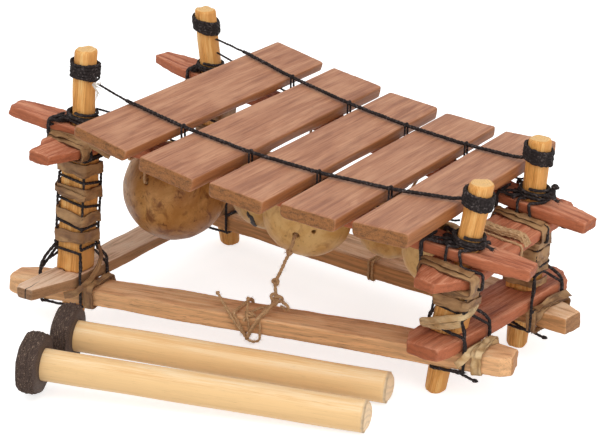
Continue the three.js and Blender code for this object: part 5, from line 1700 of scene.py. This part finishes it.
# Free strips: name, post, width, pale or not, places beside the post, what they face besides outwards
LOOSE_STRIPS = (
    ("front_left_collar_strip", "front_left", 4.6, False,
     [(-17, -13.6, 129.6), (-10, -13.6, 129.4), (2, -13.7, 129.4), (12, -13.8, 128.4),
      (20, -13.6, 126.8), (27, -13, 124.4), (31, -11, 122)], (0, -1, 0.3)),
    ("front_left_slack_strip", "front_left", 4.2, False,
     [(9.5, 9, 56), (11.6, 8.5, 52), (13.4, 9, 46), (14.4, 5, 39.5), (15, -3, 34), (15.2, -11, 31.5),
      (12, -15.5, 27.5), (4, -15.5, 24)], (0.2, -0.3, 0.4)),
    ("front_right_slack_strip", "front_right", 4.6, True,
     [(10, 9.5, 60), (11.8, 4, 58.6), (12.6, -4, 57), (9.5, -11.2, 56), (-1.5, -12, 52.2),
      (-11.5, -12.4, 48.6), (-14.2, -11.4, 47.4), (-12, -10.6, 46.4), (-1, -10.8, 47.4),
      (8, -10.8, 50.4), (11.6, -9.5, 52)], (0, -0.6, 0.2)),
    ("front_right_rail_strip", "front_right", 5.0, True,
     [(26, 15, 35), (23.5, 8, 35.2), (21.5, 0, 34.8), (20.5, -8, 34.2), (20, -13, 32.5),
      (16, -15.2, 27)], (0, 0, 1.2)),
    ("rear_right_rail_strip", "rear_right", 5.5, False,
     [(24, 17, 36), (22, 8, 36.4), (20.5, -3, 36.4), (20, -14, 35), (19.6, -19, 31), (15, -19.5, 26)],
     (0, 0, 1.2)),
    ("rear_right_block_strip", "rear_right", 5.0, False,
     [(-10.5, 8, 52), (-10.8, -4, 50.5), (-9, -10.6, 49), (2, -10.8, 48.4), (10, -10.6, 48),
      (11.8, -2, 47), (11.6, 8, 46)], (0, -0.2, 0)),
)


def hanger_path(number, turn, rise, board, side, shift, diameter, at=None):
    """From a knot inside the gourd out through its wall, up to a rail, once round it and back."""
    off = diameter / 2 + CORD_REST
    radius = GOURD_RADII[number - 1]
    centre = gourd_centre(number)
    flat = (Vector((centre.x + shift, centre.y, 0)) - board.start).to_2d()
    along = board.along.to_2d()
    s = flat.dot(along.normalized()) / along.length if at is None else at
    w = side * (board.half + off)
    step = diameter + 0.9
    high = board.thickness + off
    corners = [
        gourd_spot(number, turn, rise, radius - GOURD_WALL - diameter * 1.5),
        gourd_spot(number, turn, rise, radius + diameter * 1.5),
        board.at(s, w, -off), board.at(s, w, high),
        board.at(s + step / 2, -w, high), board.at(s + step, -w, -off),
        board.at(s + step, w * 0.4, -off),
    ]
    return rounded(corners, 2)


def tie_path(number, turn, rise, board, s, diameter, bends):
    """Two turns round a lower rail, then a stem up to the gourd and through its wall."""
    off = diameter / 2 + CORD_REST
    step = diameter + 1.2
    radius = GOURD_RADII[number - 1]
    inside = gourd_spot(number, turn, rise, radius - GOURD_WALL - diameter * 1.5)
    outside = gourd_spot(number, turn, rise, radius + diameter * 1.5)
    low = -off
    high = board.thickness + off
    wide = board.half + off
    if bends:
        ways = (0, 1.7, -0.7, -0.3, 0.6, 2.2, 4.4, 6.0)
        last = (wide * 0.2, high + diameter * 3)
    else:
        ways = (-0.4, 0, 0, 0.3, 0.6, 1, 1, 1.5)
        last = (wide * 0.4, high + diameter * 0.7)
    places = ((0, low), (-wide, low), (-wide, high), (wide, high), (wide, low), (-wide, low),
              (-wide, high), last)
    corners = [board.at(s + k * step, w, n) for k, (w, n) in zip(ways, places)]
    foot = corners[-1]
    for part, sideways in bends:
        corners.append(foot.lerp(outside, part) + Vector((sideways, 0, 0)))
    corners += [outside, inside]
    return rounded(corners, 2), foot


# Ties to the lower rails: gourd, turn, rise, rail, place on it, thickness, bends of the stem
TIES = (
    (3, -75, -13, "lower_front", 122, 2.2, ((0.22, -4.5), (0.55, -2.2), (0.8, -0.5))),
    (4, 143, -41, "lower_rear", 145.5, 1.8, ()),
)


class BALAFON_OT_twine(bpy.types.Operator):
    """Jute twine that holds the gourds, with knots and loose fibres"""

    bl_idname = "balafon.twine"
    bl_label = "Twine"

    def execute(self, context):
        soft = context.scene.balafon_soft
        jute = soft_materials(soft)[1]
        fifth = gourd_centre(5).y - FRONT_RIGHT.foot.y - 4
        plans = (
            (1, -90, 22, "upper_front", 1, -4, None),
            (2, 90, 30, "upper_rear", -1, 4, None),
            (3, -62, 22, "upper_front", 1, 10, None),
            (4, 90, 30, "upper_rear", -1, 4, None),
            (5, 0, 35, "upper_right", 1, 0, fifth),
        )
        for number, turn, rise, board, side, shift, at in plans:
            path = hanger_path(number, turn, rise, boards[board], side, shift, 1.6, at)
            bundle = Bundle()
            lay_cord(bundle, path, 1.7, lay_length=4.2, depth=0.24, wander=0.25, seed=number)
            lay_cord(bundle, knot_path(path[0], 2.0, UP), 1.5, sides=8, seed=number + 3)
            add_hairs(bundle, resampled(path, 1.0), 0.8, 160, 2.2, number)
            if number == 5:
                self.bunch(bundle)
            finish_piece("gourd_%d_hanging_twine" % number, bundle.bm, [jute],
                         ["gourd_%d_hanger" % number])
        for number, turn, rise, board, s, diameter, bends in TIES:
            board = boards[board]
            path, foot = tie_path(number, turn, rise, board, s, diameter, bends)
            bundle = Bundle()
            lay_cord(bundle, path, diameter, lay_length=5.5, sides=12, depth=0.28, wander=0.35,
                     seed=number)
            lay_cord(bundle, knot_path(path[-1], diameter * 1.2, Vector((0, 1, 0))), diameter * 0.8,
                     sides=8, seed=number + 3)
            add_hairs(bundle, resampled(path, 1.0), diameter / 2, 320, 2.6, number + 40)
            if number == 3:
                self.tails(bundle, board, foot, path)
            finish_piece("gourd_%d_rail_twine" % number, bundle.bm, [jute],
                         ["gourd_%d_twine_tie" % number])
        self.loose_thread()
        return {"FINISHED"}

    def loose_thread(self):
        """White threads at the foot of the front left whipping."""
        bundle = Bundle()
        start = FRONT_LEFT.at(winding_heights(FRONT_LEFT)[1] - 1) + Vector((9, -4, 0))
        for k in range(9):
            end = start + Vector((4 + k % 5, -2 + k % 3, -9 + 1.6 * k))
            middle = start.lerp(end, 0.5) + Vector((2 - k % 4, 0, 1.5 - k % 3))
            lay_cord(bundle, flowing([start, middle, end]), 0.75, sides=6, seed=k, taper=(0, 3))
        thread = cloudy_material("white thread", 900.0, srgb(214, 206, 192), srgb(244, 240, 232))
        finish_piece("front_left_loose_thread", bundle.bm, [thread])

    def tails(self, bundle, board, foot, stem):
        """Knots, frayed ends and a second leg at the front rail: places along, across and above it."""
        knot = tuple(board.steps(foot))
        high = knot[2]
        tails = (
            (1.7, [(129.5, -13.6, -2.6), (122, -15, 7), (114, -12, 16), (106, -6.5, 22)]),
            (1.5, [(130.5, -13.8, 4), (130, -14.2, 10), (128.6, -12, 16), (128.2, -9, 22.5)]),
            (2.0, [knot, (141, -6, high - 3), (135, -13.4, 9), (130.5, -14.6, 1), (128.5, -13, -3.4)]),
            (1.8, [knot, (141, 1, high - 4), (134, -3, 14.6), (130, -11, 13.6), (127, -14, 9)]),
            (1.5, [(128, -13.4, -2.6), (132, -14.4, -3.6), (137, -13.4, -2.6), (138, -13.6, 3),
                   (137, -12, 12)]),
            (1.9, [knot, (150, -3, high + 1), (153, -4, high - 1), (151, -2, high - 3.5),
                   (146, 0, high - 3)]),
        )
        for k, (thick, places) in enumerate(tails):
            points = flowing([board.at(*place) for place in places])
            lay_cord(bundle, points, thick, lay_length=5.0, depth=0.3, wander=0.5, seed=50 + k,
                     taper=(0, 4 if k < 2 else 0))
            add_hairs(bundle, resampled(points, 1.0), 0.9, 110, 2.6, 60 + k)
            if k < 2:
                lay_cord(bundle, ball_path(points[-1], 1.1, 80 + k, 2), 1.2, seed=80 + k)
                add_hairs(bundle, points, 0.7, 8, 2.6, 70 + k, 0.35, 1.6, True)
        bow = knot_path(foot + Vector((0, -1, 0.5)), 3.8, Vector((0.3, -1, 0.4)))
        lay_cord(bundle, bow, 2.2, seed=77, wander=0.3)
        tangle = ball_path(board.at(130.5, -11.5, 13.4), 2.8, 78, 4, (1.2, 1, 0.6))
        lay_cord(bundle, tangle, 1.6, seed=78)
        for k, (rise, size) in enumerate(((11, 2.4), (30, 1.9))):
            spot = min(stem, key=lambda p: abs(p.z - foot.z - rise))
            lay_cord(bundle, ball_path(spot, size, 84 + k, 3), 1.7, seed=84 + k)
            add_hairs(bundle, ball_path(spot, size, 84 + k, 2), 1.0, 50, 2.6, 86 + k, 0.25)

    def bunch(self, bundle):
        """Untwisted jute over the crosspiece beside the rear right post."""
        board = boards["upper_right"]
        high = board.thickness
        for k in range(9):
            s = 42 + 2.0 * (k % 4)
            lift = high + 1.2 + 1.1 * (k % 3)
            w = board.half
            points = [board.at(s + 3, -w - 1, high - 2), board.at(s + 2, -w + 4, lift + 1),
                      board.at(s, 0, lift + 1.0), board.at(s - 2, w - 2, lift + 1.5),
                      board.at(s - 3 - k % 2, w + 2.5, high - 2), board.at(s - 4, w + 1.5, -3)]
            path = flowing(points)
            lay_cord(bundle, path, 1.5, lay_length=9, depth=0.3, wander=0.6, seed=80 + k)
            add_hairs(bundle, resampled(path, 1.0), 0.8, 70, 2.6, 90 + k)


STICK_LENGTH = 212
STICK_RADIUS = 10
HEAD_RADIUS = 21
HEAD_THICKNESS = 13
SAWN_SLANT = 0.27
TREAD_RINGS = 34
FIBRE_ROWS = 5
FACETS = 8


def mallet_place(name, turn):
    """Turns +X onto the stick, with its origin in the middle of the head."""
    reach = STICK_LENGTH - HEAD_THICKNESS / 2
    slope = math.asin((HEAD_RADIUS - STICK_RADIUS) / reach)
    turned = Matrix.Rotation(math.radians(turn), 3, "Z") @ Matrix.Rotation(slope, 3, "Y")
    low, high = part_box(name + "_head")
    middle = (low + high) / 2 / MM
    return turned, middle


def turned_rings(profile, sides, has_hole):
    """A turned shape along X: x and radius at each ring, closed with flat ends or as a ring."""
    bm = bmesh.new()
    for vertex, k in stacked(bm, sides, len(profile)):
        x, radius = profile[k]
        vertex.co = Vector((x, vertex.co.x * radius, vertex.co.y * radius))
    if has_hole:
        caps = [face for face in bm.faces if len(face.verts) == sides]
        rims = [edge for face in caps for edge in face.edges]
        bmesh.ops.delete(bm, geom=caps, context="FACES_ONLY")
        bmesh.ops.bridge_loops(bm, edges=rims)
    return bm


class BALAFON_OT_mallets(bpy.types.Operator):
    """Two mallets: a pale stick with a disc of ribbed rubber"""

    bl_idname = "balafon.mallets"
    bl_label = "Mallets"

    def execute(self, context):
        wood = woods(context.scene.balafon_wood)["stick"]
        settings = context.scene.balafon_mallets
        for number, (name, turn) in enumerate((("front_mallet", 19.5), ("rear_mallet", 18.6)), 1):
            turned, middle = mallet_place(name, turn)
            matrix = Matrix.Translation(middle) @ turned.to_4x4()
            self.stick(name, matrix, turned, middle, wood, number)
            self.head(name, matrix, turned, middle, settings, number)
        return {"FINISHED"}

    def stick(self, name, matrix, turned, middle, wood, number):
        back = -HEAD_THICKNESS / 2 + 0.6
        reach = STICK_LENGTH - HEAD_THICKNESS / 2
        stations = [(back, 0.9), (back + 0.4, 0.96), (back + 0.9, 1.0)]
        stations += [(back + 1 + (reach - back - 4) * k / 60, 1.0) for k in range(1, 61)]
        stations += [(reach - 1.9, 0.97), (reach - 1.0, 0.92), (reach - 0.3, 0.83), (reach, 0.7)]
        bm = turned_rings([(x, STICK_RADIUS * size) for x, size in stations], 72, False)
        for vertex in bm.verts:
            if vertex.co.x > reach - 3:
                vertex.co.x -= SAWN_SLANT * (STICK_RADIUS - vertex.co.y * 0.93 - vertex.co.z * -0.3)
            around = Vector((0, vertex.co.y, vertex.co.z))
            x, y, z = vertex.co
            push = noise.noise(Vector((x / 40, y / 9, z / 9 + number * 7))) * 0.35
            vertex.co += around.normalized() * (push - 0.15)
        bmesh.ops.recalc_face_normals(bm, faces=bm.faces)
        bmesh.ops.transform(bm, matrix=matrix, verts=bm.verts)
        material = wood_material(name + " stick wood", wood, turned.transposed(), middle, number + 50)
        finish_piece(name + "_shaft", bm, [material], [name + "_stick"], name)

    def head(self, name, matrix, turned, middle, settings, number):
        half = HEAD_THICKNESS / 2
        stations = []
        for k in range(TREAD_RINGS + 1):
            x = -half + 1.2 + (HEAD_THICKNESS - 2.4) * k / TREAD_RINGS
            row = math.sin(2 * math.pi * (x + half) / (HEAD_THICKNESS / FIBRE_ROWS))
            stations.append((x, HEAD_RADIUS - 1.5 * (x / half) ** 2 - 0.45 + 0.12 * row))
        face = [(0.0, STICK_RADIUS + 0.25), (0.15, STICK_RADIUS + 1.2), (0.1, HEAD_RADIUS - 6),
                (0.15, HEAD_RADIUS - 4), (0.6, HEAD_RADIUS - 2.6)]
        profile = [(-half + dx, r) for dx, r in face] + stations
        profile += [(half - dx, r) for dx, r in reversed(face)]
        bm = turned_rings(profile, 144, True)
        facet = 2 * math.pi / FACETS
        for vertex in bm.verts:
            around = Vector((0, vertex.co.y, vertex.co.z))
            out = around.length
            if out < STICK_RADIUS + 2:
                continue
            angle = math.atan2(vertex.co.z, vertex.co.y) + number
            warped = angle + 0.22 * math.sin(2 * angle) + 0.1 * math.sin(3 * angle + 1)
            flat = math.cos(facet / 2) / math.cos(warped % facet - facet / 2)
            weight = (out - STICK_RADIUS) / (HEAD_RADIUS - STICK_RADIUS)
            shape = 1 - 0.75 * weight * (1 - flat)
            rough = 0.0
            if out > HEAD_RADIUS - 3:
                cell = Vector((vertex.co.x / 1.1, vertex.co.y / 1.3, vertex.co.z / 1.3 + number * 9))
                groove = noise.noise(Vector((vertex.co.x / 0.75, angle * 1.6, number * 5)))
                rough = noise.noise(cell) * 0.6 + groove * 0.7 - 0.4
            swell = noise.noise(Vector((math.cos(angle), math.sin(angle), number))) * 1.1 - 0.55
            vertex.co += around.normalized() * (out * (shape - 1) + rough + swell * weight)
        bmesh.ops.recalc_face_normals(bm, faces=bm.faces)
        bmesh.ops.transform(bm, matrix=matrix, verts=bm.verts)
        material = rubber_material(name + " rubber", tuple(settings.rubber), tuple(settings.thread),
                                   middle, turned.transposed())
        finish_piece(name + "_disc", bm, [material], [name + "_head"], name)


FLOOR_GLOW = 0.68
FLOOR_HALF = 6.0
FLOOR_SHADE = (0.8, 0.8, 0.8)
WHITE = (1, 1, 1)
LAMP_AIM = Vector((0, 0, 0.08))
CAMERA_PLACE = Vector((720.2, -904.6, 515.9))
CAMERA_YAW = -31.19
CAMERA_PITCH = 21.07
CAMERA_ROLL = 1.13
CAMERA_LENS = 114.9


class BALAFON_OT_stage(bpy.types.Operator):
    """Pale floor, soft lamps, plain sky and the camera"""

    bl_idname = "balafon.stage"
    bl_label = "Stage"

    def execute(self, context):
        settings = context.scene.balafon_stage
        self.floor()
        self.sky(context, settings.sky)
        self.lamp("key lamp", (0.25, -0.55, 1.35), 1.1, settings.key)
        self.lamp("fill lamp", (1.1, -0.5, 0.55), 0.9, settings.fill)
        self.camera(context)
        context.scene.view_settings.view_transform = "Standard"
        return {"FINISHED"}

    def floor(self):
        bm = bmesh.new()
        bmesh.ops.create_grid(bm, x_segments=1, y_segments=1, size=FLOOR_HALF)
        material, tree, surface = shader("floor white")
        feed(tree, surface.inputs["Base Color"], FLOOR_SHADE)
        feed(tree, surface.inputs["Roughness"], 1.0)
        feed(tree, surface.inputs["Specular IOR Level"], 0.0)
        rays = add(tree, "ShaderNodeLightPath").outputs
        seen = maths(tree, "MAXIMUM", rays["Is Camera Ray"], rays["Is Glossy Ray"])
        seen = maths(tree, "MAXIMUM", seen, rays["Is Transmission Ray"])
        glow = add(tree, "ShaderNodeEmission", {
            "Color": WHITE, "Strength": times(tree, seen, FLOOR_GLOW)})
        both = add(tree, "ShaderNodeAddShader", {0: surface.outputs[0], 1: glow.outputs[0]})
        feed(tree, tree.nodes["Material Output"].inputs["Surface"], both.outputs[0])
        mesh = as_mesh("floor", bm)
        mesh.materials.append(material)
        linked("floor", mesh)

    def sky(self, context, strength):
        world = bpy.data.worlds.new("sky")
        context.scene.world = world
        world.use_nodes = True
        tree = world.node_tree
        back = tree.nodes["Background"].inputs
        feed(tree, back["Color"], WHITE)
        rays = add(tree, "ShaderNodeLightPath").outputs
        seen = maths(tree, "MAXIMUM", rays["Is Camera Ray"], rays["Is Transmission Ray"])
        feed(tree, back["Strength"], ranged(tree, seen, 0.0, 1.0, strength, 1.0, smooth=False))

    def lamp(self, name, place, size, watts):
        light = bpy.data.lights.new(name, "AREA")
        light.shape = "DISK"
        light.size = size
        light.energy = watts
        lamp = linked(name, light)
        lamp.location = place
        lamp.rotation_euler = (LAMP_AIM - Vector(place)).to_track_quat("-Z", "Y").to_euler()

    def camera(self, context):
        yaw, pitch, roll = (math.radians(a) for a in (CAMERA_YAW, CAMERA_PITCH, CAMERA_ROLL))
        level = math.cos(pitch)
        ahead = Vector((math.sin(yaw) * level, math.cos(yaw) * level, -math.sin(pitch)))
        right = Vector((math.cos(yaw), -math.sin(yaw), 0))
        up = right.cross(ahead)
        right = right * math.cos(roll) + up * math.sin(roll)
        up = right.cross(ahead)
        data = bpy.data.cameras.new("camera")
        data.sensor_fit = "HORIZONTAL"
        data.sensor_width = 36
        data.lens = CAMERA_LENS
        data.clip_end = 100
        camera = linked("camera", data)
        place = (CAMERA_PLACE + Vector((FRONT_LEFT.foot.x, FRONT_LEFT.foot.y, 0))) * MM
        turned = Matrix((right, up, -ahead)).transposed().to_4x4()
        camera.matrix_world = Matrix.Translation(place) @ turned
        context.scene.camera = camera


# Fixes how the cords wander
WANDER_SEED = 7
OPERATORS = (
    BALAFON_OT_bars,
    BALAFON_OT_frame,
    BALAFON_OT_gourds,
    BALAFON_OT_deck_cords,
    BALAFON_OT_lashings,
    BALAFON_OT_rawhide,
    BALAFON_OT_twine,
    BALAFON_OT_mallets,
    BALAFON_OT_stage,
)
GROUPS = {
    "balafon_wood": BalafonWood,
    "balafon_soft": BalafonSoft,
    "balafon_gourds": BalafonGourds,
    "balafon_mallets": BalafonMallets,
    "balafon_stage": BalafonStage,
}


class BALAFON_PT_panel(bpy.types.Panel):
    """Sizes, colours and the steps that build the balafon"""

    bl_idname = "BALAFON_PT_panel"
    bl_label = "Balafon"
    bl_space_type = "VIEW_3D"
    bl_region_type = "UI"
    bl_category = "Balafon"

    def draw(self, context):
        for name, group in GROUPS.items():
            column = self.layout.column()
            for prop in group.__annotations__:
                column.prop(getattr(context.scene, name), prop)
        for operator in OPERATORS:
            self.layout.operator(operator.bl_idname)


def register():
    noise.seed_set(WANDER_SEED)
    for group in GROUPS.values():
        bpy.utils.register_class(group)
    for operator in OPERATORS:
        bpy.utils.register_class(operator)
    bpy.utils.register_class(BALAFON_PT_panel)
    for name, group in GROUPS.items():
        setattr(bpy.types.Scene, name, bpy.props.PointerProperty(type=group))


def unregister():
    for name in GROUPS:
        delattr(bpy.types.Scene, name)
    bpy.utils.unregister_class(BALAFON_PT_panel)
    for operator in reversed(OPERATORS):
        bpy.utils.unregister_class(operator)
    for group in GROUPS.values():
        bpy.utils.unregister_class(group)


def main():
    register()
    for operator in OPERATORS:
        group, name = operator.bl_idname.split(".")
        getattr(getattr(bpy.ops, group), name)()


if __name__ == "__main__":
    main()
